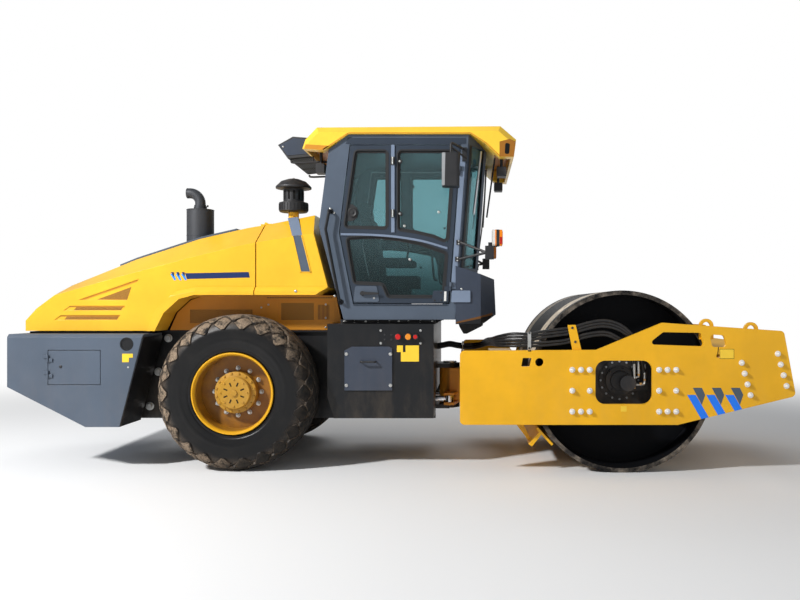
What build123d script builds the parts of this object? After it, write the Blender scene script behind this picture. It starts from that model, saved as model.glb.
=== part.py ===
"""Single-drum road roller: rear tractor on two tyres, an articulated and oscillating centre joint,
and a front frame that carries the drum. Millimetres. +X is forward, +Y is left, +Z is up.
The origin is on the ground, under the middle of the overall length and width."""

from build123d import *
import math
import os

# ---------------------------------------------------------------- driving sizes
LENGTH = 6930              # rear weight to the tip of the front frame
TAIL_X = -LENGTH / 2
TIP_X = LENGTH / 2
RUN = 5                    # clearance between pieces that move past each other
FIT = 0.3                  # clearance of a seated or turning round face

# drum
DRUM_X = 1973
DRUM_R = 800
DRUM_WIDTH = 2130
DRUM_SHELL = 38
DRUM_DISC_T = 30
DRUM_RECESS = 265          # from the drum's end to its disc
HUB_R = 200                # ring that turns with the drum, in its disc's bore
HUB_FLANGE_R = 235

# wheels
AXLE_X = -1445
TYRE_R = 695
TYRE_WIDTH = 520
TYRE_Y = 830               # middle of the tread
TREAD_HALF_W = 130         # of the level part of the tread
LUGS_AROUND = 20           # in each of the tread's rows
LUG_ROWS = 5
LUG_H = 22
LUG_GAP = 18
RIM_R = 358                # outside of the rim's flange
RIM_WALL = 14
BEAD_R = 330
DISC_Y = 905               # outer face of the wheel's disc
DISC_T = 22
PLANET_R = 184
HUB_SPIGOT_R = 114         # passes through the rim's disc
SPINDLE_R = 90
SPINDLE_Y = 745            # inner end of the hub
SPINDLE_END = 850

# centre joint
PIVOT_X = 430              # vertical steering pin
PIVOT_Z = 670              # height of the oscillation shaft
PIN_R = 45
YOKE_HALF_W = 165
YOKE_T = 42
YOKE_LOW_Z = 448           # underside of the lower yoke plate
YOKE_HIGH_Z = 892          # top of the upper yoke plate
SHAFT_R = 90               # oscillation shaft
JOINT_HUB_R = 105
JOINT_HEAD_X = 600         # front of the block between pin and shaft
JOINT_HEAD_HALF_W = 150
JOINT_FLANGE_R = 175
JOINT_FLANGE_T = 34
STUB_H = 6                 # stub of the cylinder's pin on each ear
STEER_ARM = 250            # steering pin to each cylinder's eye
CYL_Z = 556
CYL_R = 52
ROD_R = 28
CYL_BACK_X = -470          # rear eye of the steering cylinders
CYL_EYE_R = 22
ROD_EYE_H = 30             # half the height of the rod's eye
EAR_T = 24
EYE_BOSS_R = 50            # outside of the cylinders' eyes and ears
CYL_EYE_H = 26             # half the height of the rear eye
BARREL = (70, 480)         # barrel's ends, ahead of its rear eye
GLAND_L = 35
ROD_END = 285              # rear end of the rod at rest, ahead of the rear eye

# front frame
PLATE_IN = 1110            # inner face of the side plates
PLATE_T = 40
PLATE_OUT = PLATE_IN + PLATE_T
PLATE_BACK_X = 550
PLATE_LOW_Z = 432
DRUM_ROOM = 88             # between the drum and the rear crossbeam
CROSS_L = 250
CROSS_FRONT_X = DRUM_X - DRUM_R - DRUM_ROOM
CROSS_BACK_X = CROSS_FRONT_X - CROSS_L
CROSS_LOW_Z = 520
CROSS_HIGH_Z = 985
CROSS_WALL = 40
NECK_BACK_X = 640          # rear face of the oscillation bearing
NECK_HALF_W = 215
SCRAPER_ANGLE = 42.67      # below the drum's centre, towards the rear
SCRAPER_GAP = 17
SCRAPER_HALF_W = 1040
SCRAPER_L = 202
SCRAPER_T = 22
LIFTING_EYES = ((2700, 1352), (TIP_X - 375, 1322))    # place along X, top
EYE_FOOT = 180             # from the eye's top to its lower edge
EYE_R = 62
EYE_HOLE_R = 34
EYE_T = 30
WINDOW_HALF_L = 247
WINDOW_HALF_H = 189

# rear frame
RAIL_OUT = 500             # outer face of the frame's rails
RAIL_T = 40
RAIL_LOW_Z = 400
RAIL_TOP_Z = 1215
FRAME_FRONT_X = 308
FRAME_BACK_X = -2720
ARCH_HALF_L = 290          # cut-out over the axle
ARCH_TOP_Z = 905
YOKE_BACK_X = -60          # rear edge of the yoke's plates
TANK_BACK_X = -655
TANK_BEVEL = (60, 193)     # slope of the tank's lower rear corner, along X and up
CYL_EAR_T = 24
TANK_HALF_W = 850
TANK_LOW_Z = 447
COVER_T = 16
STEP_X = (-480, -120)
STEP_D = 90
MOUNT_R = 55
DECK_Z = 1300              # top of the tanks, under the cab's rubber mounts

# rear weight
WEIGHT_HALF_W = 1000
WEIGHT_TOP_Z = 1213
WEIGHT_LOW_Z = 390
WEIGHT_INNER = 560
WEIGHT_TAIL_Z = 745        # lower edge of the rear face
WEIGHT_KEEL_X = (-2772, -2471)                 # level stretch of the underside
WEIGHT_FRONT_X = -2263     # front of the top
WEIGHT_CHAMFER = 26
WEIGHT_SEAT_L = 160        # of the pads that are bolted to the rails
WEIGHT_SEAT_Z = (520, 1100)
PORT_X = -2406             # round recess ahead of the compartment
PORT_Z = 1125
PORT_R = 46
PORT_DEPTH = 60
BOX_X0 = -3100             # compartment door
BOX_X1 = -2641
BOX_Z0 = 768
BOX_Z1 = 1068
BOX_DEPTH = 260
BOX_DOOR_T = 18
BOX_LAND = 15              # width of the ledge that the door closes on
HATCH_AXIS_Y = -WEIGHT_HALF_W - 10
HATCH_PIN_R = 4.5
HATCH_HINGE_Z = (860, 1000)

# hood and cowl
HOOD_HALF_W = 780
HOOD_TOP_HALF_W = 450
HOOD_WALL = 14
HOOD_LOW_Z = 1236
GAP_X = -1322              # joint line between hood and cowl
GAP = 10
DECK_T = 20
DECK_BACK_X = -2400
DECK_SLOT_X = -1380        # front of the opening over the engine
DECK_SLOT_HALF_W = 400
ENGINE_X = (-2640, -1700)
ENGINE_Z = (760, 1650)
ENGINE_HALF_W = 340
FOOT_X = (-2350, -2050)    # engine's feet on the rails
FOOT_Z = (905, 985)
STACK_X = -2027
STACK_Y = -200
STACK_R = 129
STACK_LOW = 2000
STACK_TOP = 2413
STACK_NECK_R = 62
STACK_NECK_H = 27
STACK_PIPE_R = 50
STACK_PIPE_H = 162         # from the can's top to the pipe's level end
STACK_BEND_R = 100
INTAKE_X = -1077
INTAKE_Y = -330
INTAKE_PIPE_R = 48
INTAKE_LOW_Z = 2225        # foot of the pipe, inside the cowl
INTAKE_PROFILE = [         # radius and height above the foot, which follow the room under the air conditioner
    (0, 0), (INTAKE_PIPE_R, 0), (INTAKE_PIPE_R, 147), (128, 147), (138, 157), (138, 237), (98, 249),
    (98, 365), (168, 375), (166, 397), (120, 443), (55, 467), (0, 469),
]
LIP_OUT = 62               # how far the wheel arch lip stands out
LIP_H = 72
LIP_CHAMFER = 38
ARCH_Z = 1563              # underside of the arch roof
PANEL_Y = 535              # outer face of the inner side panels
LID_HINGE_R = 14
LID_PIN_R = 8

# cab
CAB_HALF_W = 780
CAB_WALL = 55
CAB_LOW_Z = 1338
CAB_FLOOR_T = 60
CAB_HIGH_Z = 3031
CAB_WAIST_Z = 2193         # where the rear pillar leans furthest back
CAB_SHOULDER_Z = CAB_HIGH_Z - 140
LEAN = 0.0735              # forward lean of the front pillars
CORNER_X = 500             # side to quarter face, at the cab's base
BOW = 175                  # how far the windscreen stands ahead of that corner
SCREEN_HALF_W = 480
DOOR_T = 50
DOOR_GAP = 7
GLASS_T = 8
GLASS_IN = 18
HINGE_OUT = 14             # hinge line outside the cab's skin
AC_LOW_Z = CAB_HIGH_Z - 159                    # underside of the air conditioner
AC_ROOM = 178              # between it and the air pre-cleaner's cap
AC_HALF_W = 450
SEAT_X = -360              # rear of the cushion
SEAT_H = 362
SEAT_HALF_W = 250
CUSHION_T = 120
BACK_H = 560
WHEEL_X = 292              # middle of the steering wheel
WHEEL_H = 652              # above the floor
WHEEL_R = 190
WHEEL_RIM_R = 15
COLUMN_R = 45
MIRROR_X = 470
MIRROR_OUT = 280           # from the cab's side to the middle of the head
MIRROR_DOWN = 231          # from the cab's top to the head's
MIRROR_H = 290
MIRROR_ARM_R = 11
MIRROR_STAY_R = 9
SIGNAL_X = 834             # rear of the turn lamp
SIGNAL_Z = 1999            # its underside
SIGNAL_OUT = 170
SIGNAL_FOOT_Z = (2043, 1890)
SIGNAL_ARM_R = 12
ROOF_LAMPS = ((935, 180), (-780, 150))         # place along X, length of the stem
ROOF_LAMP_Y = 480
ROOF_LAMP_STEM_R = 14
HANDLE_GRIP_R = 13
HOSE_Z = 1040
HOSE_Y = (-60, 0, 60)


# ---------------------------------------------------------------- helpers
def side(points, y0, y1):
    """Prism of an X-Z outline between two Y planes."""
    face = make_face(Polyline(*[(x, y0, z) for x, z in points], close=True))
    return extrude(face, amount=y1 - y0, dir=(0, 1, 0))


def plan(points, z0, z1):
    """Prism of an X-Y outline between two heights."""
    face = make_face(Polyline(*[(x, y, z0) for x, y in points], close=True))
    return extrude(face, amount=z1 - z0, dir=(0, 0, 1))


def block(x0, x1, y0, y1, z0, z1):
    return Pos((x0 + x1) / 2, (y0 + y1) / 2, (z0 + z1) / 2) * Box(abs(x1 - x0), abs(y1 - y0), abs(z1 - z0))


def along_y(x, z, r, y0, y1):
    return Pos(x, (y0 + y1) / 2, z) * Rot(90, 0, 0) * Cylinder(r, abs(y1 - y0))


def along_x(y, z, r, x0, x1):
    return Pos((x0 + x1) / 2, y, z) * Rot(0, 90, 0) * Cylinder(r, abs(x1 - x0))


def along_z(x, y, r, z0, z1):
    return Pos(x, y, (z0 + z1) / 2) * Cylinder(r, abs(z1 - z0))


def turned(points, x, z):
    """Solid of revolution about the Y line through (x, z). Points are (radius, y)."""
    face = make_face(Polyline(*[(x + r, y, z) for r, y in points], close=True))
    return revolve(face, Axis((x, 0, z), (0, 1, 0)), 360)


def spun(points, x, y):
    """Solid of revolution about the Z line through (x, y). Points are (radius, z)."""
    face = make_face(Polyline(*[(x + r, y, z) for r, z in points], close=True))
    return revolve(face, Axis((x, y, 0), (0, 0, 1)), 360)


def other(shape):
    """The same piece on the left side."""
    return mirror(shape, about=Plane.XZ)


def both(shape):
    return shape + other(shape)


def round_y(shape, radius, pick=None):
    """Rounds the edges that run along Y, all of them or those that pick chooses."""
    edges = [e for e in shape.edges().filter_by(Axis.Y) if pick is None or pick(e.center())]
    return fillet(edges, radius)


def bar(a, b, r):
    """Round bar between two points."""
    a, b = Vector(*a), Vector(*b)
    return Plane(origin=a, z_dir=b - a) * Pos(0, 0, (b - a).length / 2) * Cylinder(r, (b - a).length)


def tube_path(points, radii, r):
    """Round bar along straight runs joined by arcs."""
    path = FilletPolyline(*points, radius=radii)
    start = Plane(origin=path @ 0, z_dir=path % 0)
    return sweep(start * Circle(r), path=path)


nodes = {}


# ---------------------------------------------------------------- drum
HUB_Y = DRUM_WIDTH / 2 - DRUM_RECESS          # outer face of the drum's disc
HUB_FLANGE_T = 25
JOURNAL_R = 120
HOUSING_R = 165
CARRIER_Y = 905                                # inner face of the fixed carrier plate
CARRIER_T = 25
CARRIER_HALF_L = 430
CARRIER_DOWN = 250
CARRIER_UP = 190
CARRIER_CORNER_R = 60
COVER_R = 130
COVER_H = 40
MOTOR_R = 70
MOTOR_L = 110
MOTOR_SHIFT = (60, -20)                        # motor's axis from the drum's, along X and Z
BUFFER_R = 65
BUFFER_X = (-350, 350)                         # from the drum's axis
BUFFER_Z = (-185, -27, 130)
BRACKET_T = 30
BRACKET_X = ((-470, -265), (265, 470))
BRACKET_DOWN = 300
BRACKET_UP = 200


def drum_shell():
    half = DRUM_WIDTH / 2
    outside = along_y(DRUM_X, DRUM_R, DRUM_R, -half, half)
    return outside - along_y(DRUM_X, DRUM_R, DRUM_R - DRUM_SHELL, -half, half)


def drum_discs():
    """Disc welded in the shell, set in from each end."""
    disc = along_y(DRUM_X, DRUM_R, DRUM_R - DRUM_SHELL, -HUB_Y, -HUB_Y + DRUM_DISC_T)
    return both(disc - along_y(DRUM_X, DRUM_R, HUB_R, -HUB_Y, -HUB_Y + DRUM_DISC_T))


def drum_hubs():
    """Flanged ring that closes the disc's bore, turns with the drum and runs on the journal."""
    ring = along_y(DRUM_X, DRUM_R, HUB_FLANGE_R, -HUB_Y - HUB_FLANGE_T, -HUB_Y)
    ring += along_y(DRUM_X, DRUM_R, HUB_R, -HUB_Y, -HUB_Y + DRUM_DISC_T)
    return both(ring - along_y(DRUM_X, DRUM_R, JOURNAL_R + FIT, -HUB_Y - HUB_FLANGE_T, -HUB_Y + DRUM_DISC_T))


def drum_carriers():
    """Fixed plate with the drive housing and its journal, hung on rubber buffers."""
    face_y = -CARRIER_Y - CARRIER_T
    plate = block(
        DRUM_X - CARRIER_HALF_L, DRUM_X + CARRIER_HALF_L, face_y, -CARRIER_Y, DRUM_R - CARRIER_DOWN,
        DRUM_R + CARRIER_UP)
    plate = round_y(plate, CARRIER_CORNER_R)
    housing = along_y(DRUM_X, DRUM_R, HOUSING_R, -CARRIER_Y, -HUB_Y - HUB_FLANGE_T - RUN)
    journal = along_y(DRUM_X, DRUM_R, JOURNAL_R, -CARRIER_Y, -HUB_Y + DRUM_DISC_T + RUN)
    cover = along_y(DRUM_X, DRUM_R, COVER_R, face_y - COVER_H, face_y)
    motor = along_y(DRUM_X + MOTOR_SHIFT[0], DRUM_R + MOTOR_SHIFT[1], MOTOR_R, face_y - MOTOR_L, face_y)
    return both(plate + housing + journal + cover + motor)


def drum_buffers():
    """Rubber buffers between each bracket and the carrier."""
    buffers = [
        along_y(DRUM_X + dx, DRUM_R + dz, BUFFER_R, -PLATE_IN + BRACKET_T, -CARRIER_Y - CARRIER_T)
        for dx in BUFFER_X for dz in BUFFER_Z
    ]
    return both(Compound(buffers))


def drum_brackets():
    """Plates bolted inside the side plates, one at each side of the drive window."""
    plates = [
        block(
            DRUM_X + x0, DRUM_X + x1, -PLATE_IN, -PLATE_IN + BRACKET_T,
            DRUM_R - BRACKET_DOWN, DRUM_R + BRACKET_UP)
        for x0, x1 in BRACKET_X
    ]
    return both(Compound(plates))


# ---------------------------------------------------------------- front frame
PLATE_OUTLINE = [          # X and Z, from the lower rear corner
    (PLATE_BACK_X, PLATE_LOW_Z), (2440, PLATE_LOW_Z), (TIP_X, 682), (TIP_X - 105, 1246), (2305, 1318),
    (1735, 1082), (PLATE_BACK_X, 1075),
]
PLATE_CORNER_R = 40
WINDOW_CORNER_R = 85
PLATE_SLOTS = [            # corner radius, then the X-Z outline
    (22, [(2178, 1130), (2312, 1236), (2640, 1230), (2668, 1112)]),
    (30, [(2716, 1216), (2840, 1208), (2872, 1106), (2738, 1108)]),
    (8, [(1096, 1012), (1172, 1012), (1156, 938), (1082, 938)]),
]
PLATE_HOLES = [(1240, 975, 36), (2790, 1030, 16)]      # X, Z and radius


def drive_window(y0, y1):
    """Opening over the drum's drive."""
    hole = block(
        DRUM_X - WINDOW_HALF_L, DRUM_X + WINDOW_HALF_L, y0, y1,
        DRUM_R - WINDOW_HALF_H, DRUM_R + WINDOW_HALF_H)
    return round_y(hole, WINDOW_CORNER_R)


def side_plate():
    """Thick plate with a drive window, a long slot, a hand hole and two small rear slots."""
    plate = round_y(side(PLATE_OUTLINE, -PLATE_OUT, -PLATE_IN), PLATE_CORNER_R)
    outer, inner = -PLATE_OUT - 1, -PLATE_IN + 1
    plate = plate - drive_window(outer, inner)
    for radius, outline in PLATE_SLOTS:
        plate = plate - round_y(side(outline, outer, inner), radius)
    for x, z, r in PLATE_HOLES:
        plate = plate - along_y(x, z, r, outer, inner)
    return plate


def rear_cross():
    """Hollow beam behind the drum, with the neck that holds the oscillation shaft's bearing."""
    beam = block(CROSS_BACK_X, CROSS_FRONT_X, -PLATE_IN, PLATE_IN, CROSS_LOW_Z, CROSS_HIGH_Z)
    hollow = block(
        CROSS_BACK_X + CROSS_WALL, CROSS_FRONT_X - CROSS_WALL, -PLATE_IN + CROSS_WALL, PLATE_IN - CROSS_WALL,
        CROSS_LOW_Z + CROSS_WALL, CROSS_HIGH_Z - CROSS_WALL)
    neck_outline = [
        (NECK_BACK_X, PIVOT_Z - 130), (CROSS_BACK_X, PIVOT_Z - 150), (CROSS_BACK_X, PIVOT_Z + 190),
        (NECK_BACK_X, PIVOT_Z + 140),
    ]
    neck = side(neck_outline, -NECK_HALF_W, NECK_HALF_W)
    return beam - hollow + neck - along_x(0, PIVOT_Z, SHAFT_R + FIT, NECK_BACK_X - 40, CROSS_BACK_X - 20)


TIP_BEAM = [               # X and Z of the front beam's corners
    (TIP_X - 455, 640), (TIP_X - 65, 690), (TIP_X - 135, 1110), (TIP_X - 540, 1060),
]
TIP_BEAM_WALL = 30


def front_cross():
    """Slanted box beam bolted between the tips of the side plates."""
    middle = [sum(c) / len(TIP_BEAM) for c in zip(*TIP_BEAM)]
    inner = [
        (x - math.copysign(TIP_BEAM_WALL, x - middle[0]), z - math.copysign(TIP_BEAM_WALL, z - middle[1]))
        for x, z in TIP_BEAM
    ]
    reach = PLATE_IN - TIP_BEAM_WALL
    return side(TIP_BEAM, -PLATE_IN, PLATE_IN) - side(inner, -reach, reach)


def lifting_eyes():
    """Four rings welded inside the side plates, over their top edge."""
    inner = -PLATE_IN + EYE_T
    eyes = []
    for x, top in LIFTING_EYES:
        lug = block(x - EYE_R, x + EYE_R, -PLATE_IN, inner, top - EYE_FOOT, top - EYE_R)
        lug += along_y(x, top - EYE_R, EYE_R, -PLATE_IN, inner)
        eyes.append(lug - along_y(x, top - EYE_R, EYE_HOLE_R, -PLATE_IN, inner))
    return both(Compound(eyes))


def scraper():
    """Blade behind the drum on two arms under the rear beam."""
    angle = math.radians(SCRAPER_ANGLE)
    out = Vector(-math.cos(angle), 0, -math.sin(angle))
    up = Vector(-math.sin(angle), 0, math.cos(angle))
    tip = Vector(DRUM_X, 0, DRUM_R) + out * (DRUM_R + SCRAPER_GAP)

    def at(along, away):
        """X and Z of a point on the blade, up from its tip and away from the drum."""
        point = tip + up * along + out * away
        return point.X, point.Z

    blade_outline = [at(0, 0), at(0, SCRAPER_T), at(SCRAPER_L, SCRAPER_T), at(SCRAPER_L, 0)]
    blade = side(blade_outline, -SCRAPER_HALF_W, SCRAPER_HALF_W)
    back_outline = [
        at(SCRAPER_L - 40, SCRAPER_T), at(SCRAPER_L - 70, SCRAPER_T), at(SCRAPER_L - 90, SCRAPER_T + 130),
        at(SCRAPER_L - 55, SCRAPER_T + 140),
    ]
    back = side(back_outline, -SCRAPER_HALF_W, SCRAPER_HALF_W)
    arm_outline = [
        (CROSS_BACK_X + 125, CROSS_LOW_Z), (CROSS_FRONT_X - 25, CROSS_LOW_Z),
        at(SCRAPER_L - 45, SCRAPER_T + 100),
        at(SCRAPER_L - 60, SCRAPER_T), at(SCRAPER_L - 85, SCRAPER_T), at(SCRAPER_L - 90, SCRAPER_T + 130),
    ]
    arm = side(arm_outline, -900, -870)
    return blade + back + both(arm)


# ---------------------------------------------------------------- centre joint
def centre_joint():
    """Block that turns on the steering pin, with the cylinder ears and the oscillation shaft."""
    low, high = YOKE_LOW_Z + YOKE_T + RUN, YOKE_HIGH_Z - YOKE_T - RUN
    hub = along_z(PIVOT_X, 0, JOINT_HUB_R, low, high)
    head = block(PIVOT_X, JOINT_HEAD_X, -JOINT_HEAD_HALF_W, JOINT_HEAD_HALF_W, low + 30, high)
    flange_front = JOINT_HEAD_X + JOINT_FLANGE_T
    flange = along_x(0, PIVOT_Z, JOINT_FLANGE_R, JOINT_HEAD_X, flange_front)
    shaft = along_x(0, PIVOT_Z, SHAFT_R, flange_front, CROSS_BACK_X - 25)
    body = hub + head + flange + shaft
    ear_shape = [
        (PIVOT_X - EYE_BOSS_R, -STEER_ARM - EYE_BOSS_R), (PIVOT_X + EYE_BOSS_R, -STEER_ARM - EYE_BOSS_R),
        (PIVOT_X + 90, -JOINT_HUB_R + 5), (PIVOT_X - EYE_BOSS_R, -JOINT_HUB_R + 45),
    ]
    for z in (CYL_Z - ROD_EYE_H - RUN - EAR_T, CYL_Z + ROD_EYE_H + RUN):
        ear = plan(ear_shape, z, z + EAR_T)
        body += both(ear)
    for z in (CYL_Z - ROD_EYE_H - RUN - EAR_T - STUB_H, CYL_Z + ROD_EYE_H + RUN + EAR_T):
        body += both(along_z(PIVOT_X, -STEER_ARM, CYL_EYE_R, z, z + STUB_H))
    return body - along_z(PIVOT_X, 0, PIN_R + FIT, low - 1, high + 1)


def steering_pin():
    """Vertical pin held in the yoke."""
    pin = along_z(PIVOT_X, 0, PIN_R, YOKE_LOW_Z - 12, YOKE_HIGH_Z)
    return pin + along_z(PIVOT_X, 0, PIN_R + 22, YOKE_HIGH_Z, YOKE_HIGH_Z + 16)


def steering_cylinder():
    """Barrel with its rear eye, on the rear frame."""
    back, front = CYL_BACK_X + BARREL[0], CYL_BACK_X + BARREL[1]
    low, high = CYL_Z - CYL_EYE_H, CYL_Z + CYL_EYE_H
    barrel = along_x(-STEER_ARM, CYL_Z, CYL_R, back, front)
    gland = along_x(-STEER_ARM, CYL_Z, CYL_R + 6, front, front + GLAND_L)
    eye = along_z(CYL_BACK_X, -STEER_ARM, EYE_BOSS_R - 2, low, high)
    neck = block(CYL_BACK_X, back + 5, -STEER_ARM - 30, -STEER_ARM + 30, low, high)
    body = barrel + gland + eye + neck - along_z(CYL_BACK_X, -STEER_ARM, CYL_EYE_R, low - 1, high + 1)
    return body - along_x(-STEER_ARM, CYL_Z, ROD_R + FIT, back + 40, front + GLAND_L + 1)


def steering_rod():
    """Rod with the eye that sits between the centre joint's ears."""
    low, high = CYL_Z - ROD_EYE_H, CYL_Z + ROD_EYE_H
    rod = along_x(-STEER_ARM, CYL_Z, ROD_R, CYL_BACK_X + ROD_END, PIVOT_X - 30)
    eye = along_z(PIVOT_X, -STEER_ARM, EYE_BOSS_R - 6, low, high)
    return rod + eye - along_z(PIVOT_X, -STEER_ARM, CYL_EYE_R + 2, low - 1, high + 1)


# ---------------------------------------------------------------- rear frame
def rear_frame():
    """Two deep rails with cross plates, an arch over the axle and the yoke for the steering pin."""
    outline = [
        (FRAME_BACK_X, RAIL_LOW_Z), (AXLE_X - ARCH_HALF_L, RAIL_LOW_Z),
        (AXLE_X - ARCH_HALF_L + 60, ARCH_TOP_Z),
        (AXLE_X + ARCH_HALF_L - 60, ARCH_TOP_Z), (AXLE_X + ARCH_HALF_L, RAIL_LOW_Z),
        (FRAME_FRONT_X, RAIL_LOW_Z), (FRAME_FRONT_X, DECK_Z),
        (TANK_BACK_X, DECK_Z), (TANK_BACK_X, RAIL_TOP_Z),
        (FRAME_BACK_X, RAIL_TOP_Z),
    ]
    rail = side(outline, -RAIL_OUT, -RAIL_OUT + RAIL_T)
    inner = RAIL_OUT - RAIL_T
    frame = both(rail)
    arch_back, arch_front = AXLE_X - ARCH_HALF_L, AXLE_X + ARCH_HALF_L
    cross_plates = (       # rear face, front face, underside, top
        (FRAME_BACK_X, FRAME_BACK_X + RAIL_T, RAIL_LOW_Z + 20, ARCH_TOP_Z),
        (arch_back - 60, arch_back - 30, RAIL_LOW_Z, PIVOT_Z + 70),
        (arch_front + 30, arch_front + 60, RAIL_LOW_Z, ARCH_TOP_Z + 95),
        (FRAME_FRONT_X - 45, FRAME_FRONT_X, PIVOT_Z - 30, DECK_Z - DECK_T),
        (TANK_BACK_X, FRAME_FRONT_X, DECK_Z - DECK_T, DECK_Z),
    )
    for x0, x1, z0, z1 in cross_plates:
        frame += block(x0, x1, -inner, inner, z0, z1)
    for z in (YOKE_LOW_Z, YOKE_HIGH_Z - YOKE_T):
        tongue = block(YOKE_BACK_X, PIVOT_X, -YOKE_HALF_W, YOKE_HALF_W, z, z + YOKE_T)
        tongue += along_z(PIVOT_X, 0, JOINT_HUB_R - 5, z, z + YOKE_T)
        frame += tongue - along_z(PIVOT_X, 0, PIN_R, z - 1, z + YOKE_T + 1)
    frame += block(YOKE_BACK_X, YOKE_BACK_X + 30, -inner, inner, YOKE_LOW_Z, YOKE_LOW_Z + YOKE_T)
    frame += block(YOKE_BACK_X, YOKE_BACK_X + 35, -YOKE_HALF_W, YOKE_HALF_W, YOKE_LOW_Z, YOKE_HIGH_Z)
    ear = along_z(CYL_BACK_X, -STEER_ARM, CYL_EYE_R - FIT, CYL_Z - 62, CYL_Z + 62)
    for z in (CYL_Z + CYL_EYE_H + FIT, CYL_Z - CYL_EYE_H - FIT - CYL_EAR_T):
        ear += block(CYL_BACK_X - 70, CYL_BACK_X + 45, -inner, -STEER_ARM + EYE_BOSS_R, z, z + CYL_EAR_T)
    return frame + both(ear)


def side_tanks():
    """Tanks under the cab, with a sloped lower rear corner behind the tyre."""
    outline = [
        (TANK_BACK_X + TANK_BEVEL[0], TANK_LOW_Z), (FRAME_FRONT_X, TANK_LOW_Z), (FRAME_FRONT_X, DECK_Z),
        (TANK_BACK_X, DECK_Z), (TANK_BACK_X, TANK_LOW_Z + TANK_BEVEL[1]),
    ]
    return both(side(outline, -TANK_HALF_W, -RAIL_OUT))


COVER_OUTLINE = [(-497, 700), (-67, 700), (-67, 1080), (-92, 1096), (-430, 1096), (-497, 1060)]     # X and Z
STEP_Z = (560, 880)
STEP_T = 12
STEP_CHEEK_T = 10
STEP_CHEEK_H = 60


def tank_cover():
    """Bolted cover on the right tank, with a chamfered top corner."""
    return side(COVER_OUTLINE, -TANK_HALF_W - COVER_T, -TANK_HALF_W)


def steps():
    """Two treads on the left tank, each a plate between two cheeks."""
    treads = []
    for z in STEP_Z:
        tread = block(*STEP_X, TANK_HALF_W, TANK_HALF_W + STEP_D, z, z + STEP_T)
        for x in (STEP_X[0], STEP_X[1] - STEP_CHEEK_T):
            tread += block(x, x + STEP_CHEEK_T, TANK_HALF_W, TANK_HALF_W + STEP_D, z, z + STEP_CHEEK_H)
        treads.append(tread)
    return Compound(treads)


MOUNT_X = (-400, 230)
MOUNT_Y = (-600, 600)


def cab_mounts():
    """Rubber mounts between the deck and the cab's floor."""
    mounts = [along_z(x, y, MOUNT_R, DECK_Z, CAB_LOW_Z) for x in MOUNT_X for y in MOUNT_Y]
    return Compound(mounts)


# ---------------------------------------------------------------- rear weight
def rear_weight():
    """U-shaped ballast that closes the tail, with a compartment in each side."""
    outline = [
        (TAIL_X, WEIGHT_TAIL_Z), (WEIGHT_KEEL_X[0], WEIGHT_LOW_Z), (WEIGHT_KEEL_X[1], WEIGHT_LOW_Z),
        (WEIGHT_FRONT_X, WEIGHT_TOP_Z), (TAIL_X, WEIGHT_TOP_Z),
    ]
    body = side(outline, -WEIGHT_HALF_W, WEIGHT_HALF_W)
    body -= block(
        FRAME_BACK_X - FIT, WEIGHT_FRONT_X + 1, -WEIGHT_INNER, WEIGHT_INNER,
        WEIGHT_LOW_Z - 1, WEIGHT_TOP_Z + 1)
    seat = block(
        FRAME_BACK_X, FRAME_BACK_X + WEIGHT_SEAT_L, -WEIGHT_INNER, -RAIL_OUT, *WEIGHT_SEAT_Z)
    body += both(seat)
    top_edges = [e for e in body.edges().filter_by(Axis.X)
                 if e.center().Z > WEIGHT_TOP_Z - 1 and abs(e.center().Y) > WEIGHT_HALF_W - 1]
    body = chamfer(top_edges, WEIGHT_CHAMFER)
    face = -WEIGHT_HALF_W
    box = block(
        BOX_X0 + BOX_LAND, BOX_X1 - BOX_LAND, face - 1, face + BOX_DEPTH,
        BOX_Z0 + BOX_LAND, BOX_Z1 - BOX_LAND)
    rebate = block(
        BOX_X0 - RUN, BOX_X1 + RUN, face - 1, face + BOX_DOOR_T + RUN, BOX_Z0 - RUN, BOX_Z1 + RUN)
    port = along_y(PORT_X, PORT_Z, PORT_R, face - 1, face + PORT_DEPTH)
    body = body - both(box + rebate) - both(port)
    for z in HATCH_HINGE_Z:
        barrel = along_z(BOX_X0, HATCH_AXIS_Y, HATCH_PIN_R * 2, z, z + 30)
        barrel += along_z(BOX_X0, HATCH_AXIS_Y, HATCH_PIN_R, z - 30, z + 30)
        leaf = block(BOX_X0 - 40, BOX_X0, HATCH_AXIS_Y, -WEIGHT_HALF_W, z, z + 30)
        body += both(barrel + leaf)
    return body


def box_door():
    """Flush door of the rear compartment, with its half of the hinges."""
    door = block(BOX_X0, BOX_X1, -WEIGHT_HALF_W, -WEIGHT_HALF_W + BOX_DOOR_T, BOX_Z0, BOX_Z1)
    for z in HATCH_HINGE_Z:
        leaf = block(BOX_X0, BOX_X0 + 40, HATCH_AXIS_Y, -WEIGHT_HALF_W, z - 30, z - 1)
        door += along_z(BOX_X0, HATCH_AXIS_Y, HATCH_PIN_R * 2, z - 30, z - 1) + leaf
        door -= along_z(BOX_X0, HATCH_AXIS_Y, HATCH_PIN_R + FIT, z - 31, z)
    return door


# ---------------------------------------------------------------- axle and wheels
def rear_axle():
    """Beam axle with its drive head, bolted under the rails."""
    beam = along_y(AXLE_X, TYRE_R, 120, -560, 560)
    head = along_y(AXLE_X, TYRE_R, 205, -170, 170)
    flange = along_y(AXLE_X, TYRE_R, 175, -600, -560)
    spindle = along_y(AXLE_X, TYRE_R, SPINDLE_R, -SPINDLE_END, -600)
    pad = block(AXLE_X - 140, AXLE_X + 140, -RAIL_OUT + 5, -RAIL_OUT + 125, TYRE_R, ARCH_TOP_Z)
    return beam + head + both(flange + spindle + pad)


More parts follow.
